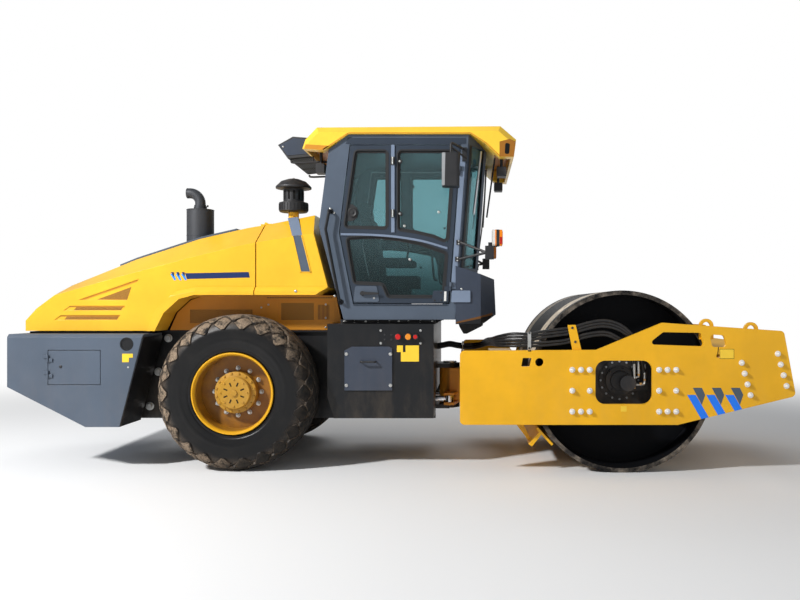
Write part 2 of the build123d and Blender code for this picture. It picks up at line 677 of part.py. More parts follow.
def faceted_ring(profile, x, z, sides):
    """Ring of flat faces about the Y line through (x, z). Profile points are (radius at a corner, y)."""
    def corner(i, j):
        radius, y = profile[j % len(profile)]
        angle = 2 * math.pi * i / sides
        return (x + radius * math.cos(angle), y, z + radius * math.sin(angle))

    faces = []
    for i in range(sides):
        for j in range(len(profile)):
            corners = (corner(i, j), corner(i + 1, j), corner(i + 1, j + 1), corner(i, j + 1))
            faces.append(make_face(Polyline(*corners, close=True)).face())
    return Solid(Shell(faces))


def tyre():
    """Tyre of flat facets, with rows of lugs between staggered notches in its tread."""
    half = TYRE_WIDTH / 2
    sides = 2 * LUGS_AROUND
    seat = (BEAD_R + RIM_WALL + FIT) / math.cos(math.pi / sides)
    one_side = [
        (seat, half - 46), (RIM_R + 6, half - 30), (RIM_R + 14, half - 12), (BEAD_R + 210, half),
        (TYRE_R - 75, half - 18), (TYRE_R - 22, half - 62), (TYRE_R, TREAD_HALF_W),
    ]
    profile = one_side + [(r, -y) for r, y in reversed(one_side)]
    body = faceted_ring([(r, y - TYRE_Y) for r, y in profile], AXLE_X, TYRE_R, sides)
    row_w = 2 * (half - 62) / LUG_ROWS
    notch = Pos(TYRE_R, 0, 0) * Box(2 * LUG_H, row_w, LUG_GAP)
    notches = []
    for row in range(LUG_ROWS):
        y = (row + 0.5 - LUG_ROWS / 2) * row_w - TYRE_Y
        for lug in range(LUGS_AROUND):
            turn = 360 / LUGS_AROUND * (lug + 0.5 * (row % 2))
            notches.append(Pos(AXLE_X, y, TYRE_R) * Rot(0, turn, 0) * notch)
    return body - notches


def rim():
    """Drop-centre rim with its disc."""
    half = TYRE_WIDTH / 2
    lip = half - 8
    y0 = -TYRE_Y
    profile = [
        (RIM_R, y0 - lip), (RIM_R, y0 - lip + 22), (BEAD_R + RIM_WALL, y0 - lip + 34),
        (BEAD_R + RIM_WALL, y0 + lip - 34),
        (RIM_R, y0 + lip - 22), (RIM_R, y0 + lip), (RIM_R - RIM_WALL, y0 + lip), (BEAD_R, y0 + lip - 26),
        (BEAD_R, -DISC_Y + DISC_T), (HUB_SPIGOT_R, -DISC_Y + DISC_T),
        (HUB_SPIGOT_R, -DISC_Y), (BEAD_R, -DISC_Y),
        (BEAD_R, y0 - lip + 26), (RIM_R - RIM_WALL, y0 - lip),
    ]
    return turned(profile, AXLE_X, TYRE_R)


def wheel_hub():
    """Planetary hub: it turns on the spindle, holds the rim's disc and stands out as a stepped cover."""
    inner = -DISC_Y + DISC_T
    profile = [
        (0, -1048), (28, -1048), (28, -1036), (137, -1036), (146, -1022), (146, -1000), (PLANET_R, -990),
        (PLANET_R, -DISC_Y), (HUB_SPIGOT_R, -DISC_Y), (HUB_SPIGOT_R, inner), (240, inner), (240, inner + 22),
        (150, inner + 22), (150, -SPINDLE_Y), (SPINDLE_R + FIT, -SPINDLE_Y),
        (SPINDLE_R + FIT, -SPINDLE_END - FIT),
        (0, -SPINDLE_END - FIT),
    ]
    return turned(profile, AXLE_X, TYRE_R)


# ---------------------------------------------------------------- hood, cowl and engine
HOOD_TOP = [
    (-3425, 1370), (-3325, 1512), (-3165, 1660), (-2555, 1905), (-1946, 2103), (-1490, 2208), (GAP_X, 2236),
]
HOOD_CREASE = [
    (-3425, 1330), (-3325, 1440), (-3165, 1560), (-2555, 1735), (-1946, 1900), (-1490, 2010), (GAP_X, 2045),
]


def hood_shell(grow, low, x_end):
    """Body of the hood with faceted shoulders. grow is how far it lies inside the outer skin."""
    half, top_half = HOOD_HALF_W - grow, HOOD_TOP_HALF_W - grow * 0.6
    tail = grow
    top = [(min(x + tail, x_end), z - grow) for x, z in HOOD_TOP[:-1]] + [(x_end, HOOD_TOP[-1][1] - grow)]
    crease = [(min(x + tail, x_end), z - grow) for x, z in HOOD_CREASE[:-1]]
    crease.append((x_end, HOOD_CREASE[-1][1] - grow))
    foot = (x_end, low), (HOOD_TOP[0][0] + tail, low)
    faces = []
    for y, line in ((-half, crease), (-top_half, top), (top_half, top), (half, crease)):
        points = [(x, y, z) for x, z in (*line, *foot)]
        faces.append(make_face(Polyline(*points, close=True)))
    return loft(faces, ruled=True)


ARCH_LINE = [(-2222, HOOD_LOW_Z), (-2141, 1399), (-2003, 1526), (-1864, ARCH_Z)]


def arch_region(grow, end, y0, y1):
    """Space of the wheel arch, grown outwards by grow: it rises from the sill and runs level to end."""
    shift = ((-grow, 0), (-grow, grow * 0.4), (-grow * 0.5, grow), (0, grow))
    line = [(x + dx, z + dz) for (x, z), (dx, dz) in zip(ARCH_LINE, shift)]
    return side([*line, (end, ARCH_Z + grow), (end, HOOD_LOW_Z)], y0, y1)


def lid_knuckles(barrels, leaf_x):
    """Barrels of the hood's hinges with their leaves, on one side of the hinge line."""
    parts = None
    near_x = GAP_X + math.copysign(LID_HINGE_R + 3, leaf_x - GAP_X)
    for y0, y1 in barrels:
        leaf = block(near_x, leaf_x, y0, y1, HOOD_TOP[-1][1] - HOOD_WALL, LID_Z)
        web = block(GAP_X, near_x, y0, y1, LID_Z - 5, LID_Z + 5)
        one = along_y(GAP_X, LID_Z, LID_HINGE_R, y0, y1) + leaf + web
        parts = one if parts is None else parts + one
    return both(parts)


LID_Z = HOOD_TOP[-1][1] + LID_HINGE_R + 2
VENT_DEPTH = 6
HOOD_VENTS = [             # X-Z outlines of the recesses in each side of the hood
    [(-2938, 1520), (-2484, 1515), (-2391, 1709)],
    [(-3079, 1422), (-2543, 1422), (-2515, 1464), (-3020, 1464)],
    [(-3161, 1336), (-2578, 1336), (-2559, 1380), (-3107, 1378)],
]


def hood():
    """Hollow engine hood with wheel arches, their lips and its half of the hinges."""
    end = GAP_X - GAP / 2
    shell = hood_shell(0, HOOD_LOW_Z, end) - hood_shell(HOOD_WALL, HOOD_LOW_Z - 5, end + 1)
    shell -= both(arch_region(0, end + 1, -HOOD_HALF_W - 1, -HOOD_HALF_W + HOOD_WALL + 1))
    inner = -PANEL_Y - RUN
    liner = arch_region(HOOD_WALL, end, -HOOD_HALF_W, inner)
    liner -= arch_region(0, end + 1, -HOOD_HALF_W - 1, inner + 1)
    lip = arch_region(LIP_H, end, -HOOD_HALF_W - LIP_OUT, -HOOD_HALF_W + 1)
    lip -= arch_region(0, end + 1, -HOOD_HALF_W - LIP_OUT - 1, -HOOD_HALF_W + 2)
    face_y = -HOOD_HALF_W - LIP_OUT + 1
    outer = [e for e in lip.edges() if e.center().Y < face_y and e.center().Z > ARCH_Z + LIP_H / 2]
    lip = chamfer(outer, LIP_CHAMFER)
    for outline in HOOD_VENTS:
        shell -= both(side(outline, -HOOD_HALF_W - 1, -HOOD_HALF_W + VENT_DEPTH))
    body = shell + both(liner) + both(lip) + lid_knuckles(((-382, -342),), GAP_X - 60)
    return body - both(along_y(GAP_X, LID_Z, LID_PIN_R + FIT, -383, -341))


COWL_FRONT_LOW = (-662, 1631)
COWL_FRONT_HIGH_X = -846
COWL_TOP = 2330
COWL_CREASE = 2128
COWL_FOOT_X = -767


def cowl_outline(front, back, grow):
    """Side outline of the cowl, from its rear foot round by the top: front and back are heights."""
    start = GAP_X + GAP / 2 - (1 if grow else 0)
    slope = (COWL_FRONT_HIGH_X - COWL_FRONT_LOW[0]) / (COWL_TOP - COWL_FRONT_LOW[1])
    front_x = COWL_FRONT_LOW[0] + slope * (front - COWL_FRONT_LOW[1]) - grow
    return [
        (start, ARCH_Z + grow), (start, back - grow), (front_x, front - grow),
        (COWL_FRONT_LOW[0] - grow, COWL_FRONT_LOW[1]), (COWL_FOOT_X - grow, ARCH_Z + grow),
    ]


def cowl_solid(grow):
    half, top_half = HOOD_HALF_W - grow, HOOD_TOP_HALF_W - grow * 0.6
    low = cowl_outline(COWL_CREASE, HOOD_CREASE[-1][1], grow)
    high = cowl_outline(COWL_TOP, HOOD_TOP[-1][1], grow)
    faces = [
        make_face(Polyline(*[(x, y, z) for x, z in line], close=True))
        for y, line in ((-half, low), (-top_half, high), (top_half, high), (half, low))
    ]
    return loft(faces, ruled=True)


def cowl():
    """Fixed part of the bonnet between the gap and the cab, with a floor over the side panels."""
    start = GAP_X + GAP / 2
    body = cowl_solid(0) - cowl_solid(HOOD_WALL)
    lip = side(
        [
            (start, ARCH_Z), (COWL_FOOT_X, ARCH_Z), COWL_FRONT_LOW, (-664, ARCH_Z + LIP_H),
            (start, ARCH_Z + LIP_H),
        ],
        -HOOD_HALF_W - LIP_OUT, -HOOD_HALF_W)
    outer_y = -HOOD_HALF_W - LIP_OUT + 1
    edges = [e for e in lip.edges() if e.center().Y < outer_y and e.center().Z > ARCH_Z + LIP_H - 1]
    body += both(chamfer(edges, LIP_CHAMFER))
    body += lid_knuckles(((-340, -300), (-424, -384)), GAP_X + 60)
    body += both(along_y(GAP_X, LID_Z, LID_PIN_R, -424, -300))
    return body - along_z(INTAKE_X, INTAKE_Y, INTAKE_PIPE_R + FIT, 2200, 2400)


def engine_panels():
    """Inner side panels over the rails, behind the wheel arches, with two recessed grilles each."""
    foot, front = RAIL_TOP_Z + DECK_T, TANK_BACK_X - FIT
    outline = [
        (-2200, foot), (front, foot), (front, DECK_Z + FIT), (-575, DECK_Z + FIT), (-631, ARCH_Z),
        (-1870, ARCH_Z),
        (-2000, 1520), (-2130, 1400),
    ]
    panel = side(outline, -PANEL_Y, -PANEL_Y + 15)
    for x0, x1, z0, z1 in ((-2010, -1420, 1300, 1430), (-1150, -840, 1330, 1490)):
        panel -= block(x0, x1, -PANEL_Y - 1, -PANEL_Y + 7, z0, z1)
    return both(panel)


def deck():
    """Plate over the rails that carries the inner panels."""
    plate = block(DECK_BACK_X, TANK_BACK_X - FIT, -PANEL_Y, PANEL_Y, RAIL_TOP_Z, RAIL_TOP_Z + DECK_T)
    slot = DECK_SLOT_HALF_W
    return plate - block(DECK_BACK_X - 1, DECK_SLOT_X, -slot, slot, RAIL_TOP_Z - 1, RAIL_TOP_Z + DECK_T + 1)


def engine():
    """Engine and cooler as one plain block on feet between the rails."""
    half = ENGINE_HALF_W
    foot = RAIL_OUT - RAIL_T
    body = block(ENGINE_X[0], ENGINE_X[1], -half, half, ENGINE_Z[0], ENGINE_Z[1])
    return body + block(FOOT_X[0], FOOT_X[1], -foot, foot, FOOT_Z[0], FOOT_Z[1])


def exhaust():
    """Silencer on the hood with a pipe that bends to the rear."""
    can = along_z(STACK_X, STACK_Y, STACK_R, STACK_LOW, STACK_TOP)
    can += along_z(STACK_X, STACK_Y, STACK_NECK_R, STACK_TOP, STACK_TOP + STACK_NECK_H)
    bend_z = STACK_TOP + STACK_PIPE_H
    run = [(STACK_X, STACK_Y, STACK_TOP + 10), (STACK_X, STACK_Y, bend_z), (STACK_X - 128, STACK_Y, bend_z)]
    return can + tube_path(run, STACK_BEND_R, STACK_PIPE_R) - hood_shell(0, HOOD_LOW_Z, GAP_X)


def air_intake():
    """Air pre-cleaner with its cap, on a pipe through the cowl."""
    height = AC_LOW_Z - AC_ROOM - INTAKE_LOW_Z
    levels = [(r, INTAKE_LOW_Z + height * share / INTAKE_PROFILE[-1][1]) for r, share in INTAKE_PROFILE]
    return spun(levels, INTAKE_X, INTAKE_Y)


# ---------------------------------------------------------------- cab
def rear_x(z):
    """Rear edge of the cab's side at height z."""
    line = ((CAB_LOW_Z, -519), (CAB_WAIST_Z, -746), (CAB_SHOULDER_Z, -655), (CAB_HIGH_Z, -481))
    for (z0, x0), (z1, x1) in zip(line, line[1:]):
        if z <= z1:
            return x0 + (x1 - x0) * (z - z0) / (z1 - z0)
    return line[-1][1]


def corner_x(z):
    return CORNER_X + LEAN * (z - CAB_LOW_Z)


def cab_solid(inset, low, high):
    """Cab as a faceted solid, inset from its skin, between two heights."""
    levels = sorted({low, high, *(z for z in (CAB_WAIST_Z, CAB_SHOULDER_Z) if low < z < high)})
    faces = []
    for z in levels:
        half = CAB_HALF_W - inset
        screen = SCREEN_HALF_W - inset * 0.35
        ahead = corner_x(z) - inset * 0.55
        front = corner_x(z) + BOW - inset
        back = rear_x(z) + inset
        ring = [(back, -half), (ahead, -half), (front, -screen), (front, screen), (ahead, half), (back, half)]
        faces.append(make_face(Polyline(*[(x, y, z) for x, y in ring], close=True)))
    return loft(faces, ruled=True)


DOOR_LOW = 1481
DOOR_HIGH = CAB_HIGH_Z - 92
DOOR_HINGE_Z = (DOOR_LOW + 159, DOOR_HIGH - 239)
KNUCKLE_R = 13
PINTLE_R = 8
LEAF_T = 10
DOOR_PILLAR = 62


def door_front_x(z):
    return corner_x(z) - DOOR_PILLAR


def door_hinge(z):
    """Plane on the right door's hinge axis at height z, with its local Z along the axis."""
    origin = (door_front_x(z), -CAB_HALF_W - HINGE_OUT, z)
    return Plane(origin=origin, x_dir=(1, 0, -LEAN), z_dir=(LEAN, 0, 1))


def hinge_leaf(x0, x1, z0, z1):
    """Leaf that reaches from the hinge axis to the skin, in the hinge's plane."""
    return block(x0, x1, HINGE_OUT - LEAF_T, HINGE_OUT, z0, z1)


def frame_hinges():
    """Upper barrels, leaves and pins of one door's hinges."""
    parts = None
    for z in DOOR_HINGE_Z:
        one = along_z(0, 0, KNUCKLE_R, 0, 40) + along_z(0, 0, PINTLE_R, -40, 40) + hinge_leaf(0, 38, 0, 40)
        one = door_hinge(z) * one
        parts = one if parts is None else parts + one
    return parts


def door_hinges():
    """Lower barrels and leaves that turn with the door."""
    parts = None
    for z in DOOR_HINGE_Z:
        one = along_z(0, 0, KNUCKLE_R, -40, -2) + hinge_leaf(-55, 0, -40, -2)
        one = door_hinge(z) * (one - along_z(0, 0, PINTLE_R + FIT, -41, 0))
        parts = one if parts is None else parts + one
    return parts


def door_outline(gap=0):
    return [
        (-463 + gap, DOOR_HIGH - gap), (door_front_x(DOOR_HIGH) - gap, DOOR_HIGH - gap),
        (door_front_x(DOOR_LOW) - gap, DOOR_LOW + gap), (-432 + gap, DOOR_LOW + gap), (-561 + gap, 2131),
    ]


REAR_WINDOW = (CAB_WAIST_Z + 47, CAB_SHOULDER_Z - 41)
SCREEN_LOW = 1815
SCREEN_HIGH = CAB_HIGH_Z - 96


def screen_opening():
    """Prism through the cab's front, between the thin corner posts."""
    return block(450, 1000, -SCREEN_HALF_W + 45, SCREEN_HALF_W - 45, SCREEN_LOW, SCREEN_HIGH)


def quarter_opening(grow=0):
    """Prism through the quarter face, between the front pillar and the corner post."""
    lean = LEAN * (SCREEN_HIGH - SCREEN_LOW)
    x0, x1 = corner_x(SCREEN_LOW) + 22, corner_x(SCREEN_LOW) + BOW - 24
    points = [(x0, SCREEN_LOW), (x1, SCREEN_LOW), (x1 + lean, SCREEN_HIGH), (x0 + lean, SCREEN_HIGH)]
    return side(points, -CAB_HALF_W - 10, -SCREEN_HALF_W + 30)


def rear_opening():
    return block(-900, -560, -CAB_HALF_W + 110, CAB_HALF_W - 110, *REAR_WINDOW)


def cab_frame():
    """Hollow cab shell with its door, windscreen, quarter and rear openings."""
    shell = cab_solid(0, CAB_LOW_Z, CAB_HIGH_Z)
    shell -= cab_solid(CAB_WALL, CAB_LOW_Z + CAB_FLOOR_T, CAB_HIGH_Z - 60)
    shell -= side(door_outline(), -CAB_HALF_W - 10, -CAB_HALF_W + CAB_WALL + 60)
    shell -= side(door_outline(), CAB_HALF_W - CAB_WALL - 60, CAB_HALF_W + 10)
    shell -= screen_opening()
    shell -= both(quarter_opening())
    shell -= rear_opening()
    return shell + both(frame_hinges())


def pane(opening):
    """Glass set in from the skin, as large as the opening."""
    sheet = cab_solid(GLASS_IN, CAB_LOW_Z + 1, CAB_HIGH_Z - 1)
    sheet -= cab_solid(GLASS_IN + GLASS_T, CAB_LOW_Z, CAB_HIGH_Z)
    return sheet & opening


DOOR_BORDER = 62


def door_windows():
    """The three glazed areas of a door: upper rear, upper front, and below the curved bar."""
    top = DOOR_HIGH - DOOR_BORDER + 6
    upper_rear = [(-412, top), (-118, top), (-118, 2172), (-512, 2182)]
    upper_front = [
        (-22, top), (door_front_x(top) - 58, top), (door_front_x(2040) - 58, 2040), (300, 2098), (140, 2136),
        (-22, 2160),
    ]
    lower = [
        (-494, 2088), (-250, 2100), (-40, 2080), (170, 2040), (door_front_x(1950) - 56, 1950),
        (door_front_x(1545) - 56, 1545), (-115, 1545), (-165, 1660), (-424, 1672),
    ]
    return [side(points, -CAB_HALF_W - 20, -CAB_HALF_W + 90) for points in (upper_rear, upper_front, lower)]


def cab_door():
    """Door skin as thick as the wall, with its windows cut and its hinge knuckles."""
    slab = side(door_outline(DOOR_GAP), -CAB_HALF_W, -CAB_HALF_W + DOOR_T)
    for window in door_windows():
        slab -= window
    return slab + door_hinges()


def door_glass():
    panes = None
    for window in door_windows():
        one = window & block(
            -900, 900, -CAB_HALF_W + GLASS_IN, -CAB_HALF_W + GLASS_IN + GLASS_T, CAB_LOW_Z, CAB_HIGH_Z)
        panes = one if panes is None else panes + one
    return panes


def cab_nose():
    """Moulded front skirt under the windscreen, wrapped round the cab's corners."""
    ring = [(505, -800), (735, -796), (878, -560), (878, 560), (735, 796), (505, 800)]
    body = plan(ring, 1297, 1830)
    body &= side([(505, 1297), (763, 1305), (878, 1382), (862, 1712), (505, 1830)], -900, 900)
    body -= cab_solid(0, 1200, 2000)
    return body


ROOF_HALF_W = 810
ROOF_TOP_Z = CAB_HIGH_Z + 81
ROOF_OUTLINE = [
    (-889, CAB_HIGH_Z - 136), (-874, CAB_HIGH_Z - 43), (-767, ROOF_TOP_Z - 12), (915, ROOF_TOP_Z),
    (1059, CAB_HIGH_Z - 43), (1036, CAB_HIGH_Z - 211), (905, CAB_HIGH_Z - 211), (778, CAB_HIGH_Z - 89),
    (640, CAB_HIGH_Z), (-470, CAB_HIGH_Z), (-623, CAB_HIGH_Z - 104), (-700, CAB_HIGH_Z - 151),
]
ROOF_CHAMFER = 55
POCKET_Z = CAB_HIGH_Z - 71     # ceiling of the lamp pockets in the roof's ends
POCKETS = ((-870, -560), (860, 1010))
POCKET_HALF_W = 700


def cab_roof():
    """Roof moulding: thin along the sides, with deep ends over the lamps."""
    body = side(ROOF_OUTLINE, -ROOF_HALF_W, ROOF_HALF_W)
    edges = [e for e in body.edges() if abs(e.center().Y) > ROOF_HALF_W - 1 and e.center().Z > CAB_HIGH_Z + 5]
    body = chamfer(edges, ROOF_CHAMFER)
    for x0, x1 in POCKETS:
        body -= block(x0, x1, -POCKET_HALF_W, POCKET_HALF_W, POCKET_Z - 260, POCKET_Z)
    return body - cab_solid(0, CAB_LOW_Z, CAB_HIGH_Z)


def seat():
    low = CAB_LOW_Z + CAB_FLOOR_T
    top = low + SEAT_H
    base = block(SEAT_X + 30, SEAT_X + 390, -160, 160, low, top - CUSHION_T)
    cushion = block(SEAT_X, SEAT_X + 480, -SEAT_HALF_W, SEAT_HALF_W, top - CUSHION_T, top)
    rest = [(SEAT_X, top), (SEAT_X + 130, top), (SEAT_X + 30, top + BACK_H), (SEAT_X - 80, top + BACK_H)]
    back = side(rest, 15 - SEAT_HALF_W, SEAT_HALF_W - 15)
    pad = block(SEAT_X + 60, SEAT_X + 420, SEAT_HALF_W + 12, SEAT_HALF_W + 80, top + 100, top + 160)
    post = block(SEAT_X + 40, SEAT_X + 110, SEAT_HALF_W - 15, SEAT_HALF_W + 50, top - 60, top + 140)
    return base + cushion + back + both(pad + post)


def console():
    """Steering column with its wheel."""
    floor = CAB_LOW_Z + CAB_FLOOR_T
    top = floor + WHEEL_H
    column = bar((WHEEL_X + 158, 0, floor + 120), (WHEEL_X + 8, 0, top - 10), COLUMN_R)
    foot = block(WHEEL_X + 68, WHEEL_X + 208, -110, 110, floor, floor + 200)
    wheel = Torus(WHEEL_R, WHEEL_RIM_R) + Box(2 * WHEEL_R, 30, 14) + Cylinder(COLUMN_R, 50)
    return column + foot + Plane(origin=(WHEEL_X, 0, top), z_dir=(-0.2, 0, 1)) * wheel


def mirrors():
    """Deep mirror heads on looped arms from the tops of the front pillars."""
    x = MIRROR_X
    y = -CAB_HALF_W - MIRROR_OUT
    high = CAB_HIGH_Z - MIRROR_DOWN
    foot_y = -CAB_HALF_W - 30
    head = block(x - 75, x + 75, y - 75, y + 75, high - MIRROR_H, high)
    head = fillet(head.edges().filter_by(Axis.Z), 30)
    top = tube_path([(x, y, high - 20), (x, y, high + 100), (x + 110, foot_y, high + 90)], 30, MIRROR_ARM_R)
    low = bar((x, y, high + 60), (x + 130, foot_y, high + 10), MIRROR_STAY_R)
    plate = block(x + 95, x + 138, foot_y - 12, -CAB_HALF_W, high - 15, high + 105)
    return both(head + top + low + plate)


def signal_lamps():
    """Turn lamps on V-shaped brackets beside the windscreen."""
    x, z = SIGNAL_X, SIGNAL_Z
    y = -CAB_HALF_W - SIGNAL_OUT
    lamp = fillet(block(x, x + 88, y - 60, y + 60, z, z + 140).edges().filter_by(Axis.X), 25)
    pod = block(x - 62, x + 16, y - 35, y + 35, z - 119, z - 0.1)
    body = lamp + pod + block(x - 34, x + 46, y - 20, y + 20, z - 9, z + 31)
    for foot_z in SIGNAL_FOOT_Z:
        foot_x = corner_x(foot_z)
        body += bar((foot_x - 2, -CAB_HALF_W - 16, foot_z), (x - 49, y, z - 59), SIGNAL_ARM_R)
        body += block(foot_x - 40, foot_x + 5, -CAB_HALF_W - 22, -CAB_HALF_W, foot_z - 22, foot_z + 22)
    return both(body)


def roof_lamps():
    """Work lamps that hang under the ends of the roof."""
    lamps = []
    y = -ROOF_LAMP_Y
    for x, drop in ROOF_LAMPS:
        top = POCKET_Z - drop
        stem = along_z(x, y, ROOF_LAMP_STEM_R, top, POCKET_Z)
        lamps.append(stem + block(x - 40, x + 40, y - 62, y + 62, top - 90, top))
    return both(Compound(lamps))


def air_conditioner():
    """Unit behind the roof."""
    low = AC_LOW_Z
    outline = [(-1200, low + 130), (-1106, low), (-860, low + 26), (-800, low + 190), (-1058, low + 210)]
    return side(outline, -AC_HALF_W, AC_HALF_W) - side(ROOF_OUTLINE, -ROOF_HALF_W, ROOF_HALF_W)


def grab_handles():
    """Bent bars beside the doors, on the rear pillars."""
    y = -CAB_HALF_W
    run = [(-545, y, 1500), (-545, y - 62, 1500), (-672, y - 62, 2160), (-640, y - 62, 2330), (-640, y, 2330)]
    return both(tube_path(run, (30, 60, 30), HANDLE_GRIP_R))


KNOB_R = 24
KNOB_L = 45
KNOB_X = (-13, 68, 149)
KNOB_Z = 1184
HANDLE_X = (-347, -213)
HANDLE_Z = 960
HANDLE_OUT = 45
HANDLE_R = 8


def tank_fittings():
    """Isolator knobs on the front of the right tank and the handle of its cover."""
    y = -TANK_HALF_W
    parts = [along_y(x, KNOB_Z, KNOB_R, y - KNOB_L, y) for x in KNOB_X]
    back, front = HANDLE_X
    foot = y - COVER_T
    run = [(back, foot, HANDLE_Z), (back, foot - HANDLE_OUT, HANDLE_Z), (front, foot - HANDLE_OUT, HANDLE_Z),
           (front, foot, HANDLE_Z)]
    parts.append(tube_path(run, (20, 20), HANDLE_R))
    return Compound(parts)


# ---------------------------------------------------------------- hoses
HOSE_R = 17


def frame_hoses():
    """Short hose ends on fittings in the rear frame's front plate."""
    return Compound([along_x(y, HOSE_Z, HOSE_R, FRAME_FRONT_X, PIVOT_X - 80) for y in HOSE_Y])


def joint_hoses():
    """Hoses held in a clamp over the centre joint."""
    clamp = block(545, 575, -95, 95, YOKE_HIGH_Z - YOKE_T - RUN, HOSE_Z + HOSE_R + 12)
    for y in HOSE_Y:
        clamp += along_x(y, HOSE_Z, HOSE_R, PIVOT_X - 20, 600)
    return clamp


def front_hoses():
    """Hoses from the clamp on the rear beam, along the top of the right plate and into its drive window."""
    y = -PLATE_IN + 28
    parts = block(CROSS_BACK_X + 10, CROSS_BACK_X + 40, -95, 95, 985, HOSE_Z + HOSE_R + 12)
    parts += along_x(HOSE_Y[2], HOSE_Z, HOSE_R, 680, CROSS_BACK_X + 60)
    for start_y, back in ((HOSE_Y[0], 0), (HOSE_Y[1], 45)):
        run = [
            (680, start_y, HOSE_Z), (CROSS_BACK_X + 150, start_y, HOSE_Z), (1040 - back, -420, 1070),
            (960 - back, -850, 1150 - back), (1080, y, 1190 - back), (1400, y, 1165 - back),
            (1620, y, 1262 - back), (1900, y, 1325 - back), (2090 - back * 0.3, y, 1268 - back),
            (2150 - back, y, 1010),
        ]
        parts += tube_path(run, (70, 120, 200, 130, 200, 200, 200, 110), HOSE_R)
    parts += block(1520, 1580, -PLATE_IN, y + HOSE_R + 8, 1040, 1290)
    return parts


def build():
    nodes["drum_shell"] = drum_shell()
    nodes["drum_discs"] = drum_discs()
    nodes["drum_hubs"] = drum_hubs()
    nodes["drum_carriers"] = drum_carriers()
    nodes["drum_buffers"] = drum_buffers()
    nodes["drum_brackets"] = drum_brackets()
    nodes["rear_crossbeam"] = rear_cross()
    nodes["front_crossbeam"] = front_cross()
    nodes["lifting_eyes"] = lifting_eyes()
    nodes["scraper"] = scraper()
    nodes["front_hoses"] = front_hoses()
    nodes["centre_joint"] = centre_joint()
    nodes["joint_hoses"] = joint_hoses()
    nodes["steering_pin"] = steering_pin()
    nodes["rear_frame"] = rear_frame()
    nodes["frame_hoses"] = frame_hoses()
    nodes["side_tanks"] = side_tanks()
    nodes["tank_cover"] = tank_cover()
    nodes["tank_fittings"] = tank_fittings()
    nodes["steps"] = steps()
    nodes["rear_weight"] = rear_weight()
    nodes["rear_axle"] = rear_axle()
    nodes["hood"] = hood()
    nodes["exhaust"] = exhaust()
    nodes["cowl"] = cowl()
    nodes["engine_panels"] = engine_panels()
    nodes["deck"] = deck()
    nodes["engine"] = engine()
    nodes["air_intake"] = air_intake()
    nodes["cab_mounts"] = cab_mounts()
    nodes["cab_frame"] = cab_frame()
    nodes["cab_nose"] = cab_nose()
    nodes["cab_roof"] = cab_roof()
    nodes["windscreen"] = pane(screen_opening()) + both(pane(quarter_opening()))
    nodes["rear_window"] = pane(rear_opening())
    nodes["seat"] = seat()
    nodes["steering_console"] = console()
    nodes["mirrors"] = mirrors()
    nodes["signal_lamps"] = signal_lamps()
    nodes["roof_lamps"] = roof_lamps()
    nodes["air_conditioner"] = air_conditioner()
    nodes["grab_handles"] = grab_handles()
    for name, make in (
        ("side_plate", side_plate), ("tyre", tyre), ("rim", rim), ("wheel_hub", wheel_hub),
        ("steering_cylinder", steering_cylinder), ("steering_rod", steering_rod), ("box_door", box_door),
        ("cab_door", cab_door), ("door_glass", door_glass),
    ):
        right = make()
        nodes[name + "_right"] = right
        nodes[name + "_left"] = other(right)


build()
os.makedirs("parts", exist_ok=True)
for name, shape in nodes.items():
    export_step(shape, f"parts/{name}.step")
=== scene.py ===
"""Looks of an articulated single-drum road roller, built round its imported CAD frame. Metres; +X is forward,
+Y is the machine's left and +Z is up."""

import math

import bmesh
import bpy
from mathutils import Matrix, Vector


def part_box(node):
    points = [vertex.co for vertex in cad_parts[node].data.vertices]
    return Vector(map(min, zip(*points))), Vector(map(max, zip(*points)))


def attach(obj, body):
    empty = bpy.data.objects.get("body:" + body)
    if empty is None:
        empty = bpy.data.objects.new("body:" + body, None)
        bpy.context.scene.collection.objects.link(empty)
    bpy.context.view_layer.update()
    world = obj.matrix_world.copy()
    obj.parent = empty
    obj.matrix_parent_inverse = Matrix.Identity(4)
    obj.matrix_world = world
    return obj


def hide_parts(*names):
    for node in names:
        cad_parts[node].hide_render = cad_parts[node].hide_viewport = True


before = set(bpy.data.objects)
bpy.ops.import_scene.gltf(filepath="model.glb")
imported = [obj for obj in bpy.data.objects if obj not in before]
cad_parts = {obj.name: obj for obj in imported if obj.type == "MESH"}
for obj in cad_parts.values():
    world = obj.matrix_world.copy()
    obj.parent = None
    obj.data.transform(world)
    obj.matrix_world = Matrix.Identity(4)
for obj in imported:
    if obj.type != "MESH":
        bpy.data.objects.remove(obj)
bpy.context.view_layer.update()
RIGHT, LEFT = -1, 1
SIDES = ((RIGHT, "right"), (LEFT, "left"))
TURN = 2 * math.pi


def centre(node):
    """Middle of a CAD node's box."""
    lo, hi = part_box(node)
    return (lo + hi) / 2


def outer_y(node):
    """How far a CAD node reaches to the left, which is also how far its mirror image reaches to the right."""
    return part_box(node)[1].y


# Places and sizes that several pieces share
AXLE = centre("tyre_right")
DRUM = centre("drum_shell")
TYRE_R, DRUM_R = AXLE.z, DRUM.z            # both stand on the ground
DRUM_HALF_W = outer_y("drum_shell")
PLATE_Y = outer_y("side_plate_left")
TANK_Y = outer_y("side_tanks")
PANEL_Y = outer_y("engine_panels")
STACK = centre("exhaust")
CLEANER = centre("air_intake")
HOOD_Y = 0.78              # upright part of the hood's and the cowl's sides
WEIGHT_Y = 1.0             # flanks of the rear weight
DOOR_Y = 0.78              # outside of the cab doors
GLASS = -0.018             # lift of the doors' glass, which lies behind their skin


# ================================================================ outlines and profiles
def rect(u0, u1, v0, v1):
    """Corners of a rectangle."""
    return [(u0, v0), (u1, v0), (u1, v1), (u0, v1)]


def disc(r, height):
    """Profile of a plain disc, as (radius, height)."""
    return [(0, 0), (r, 0), (r, height), (0, height)]


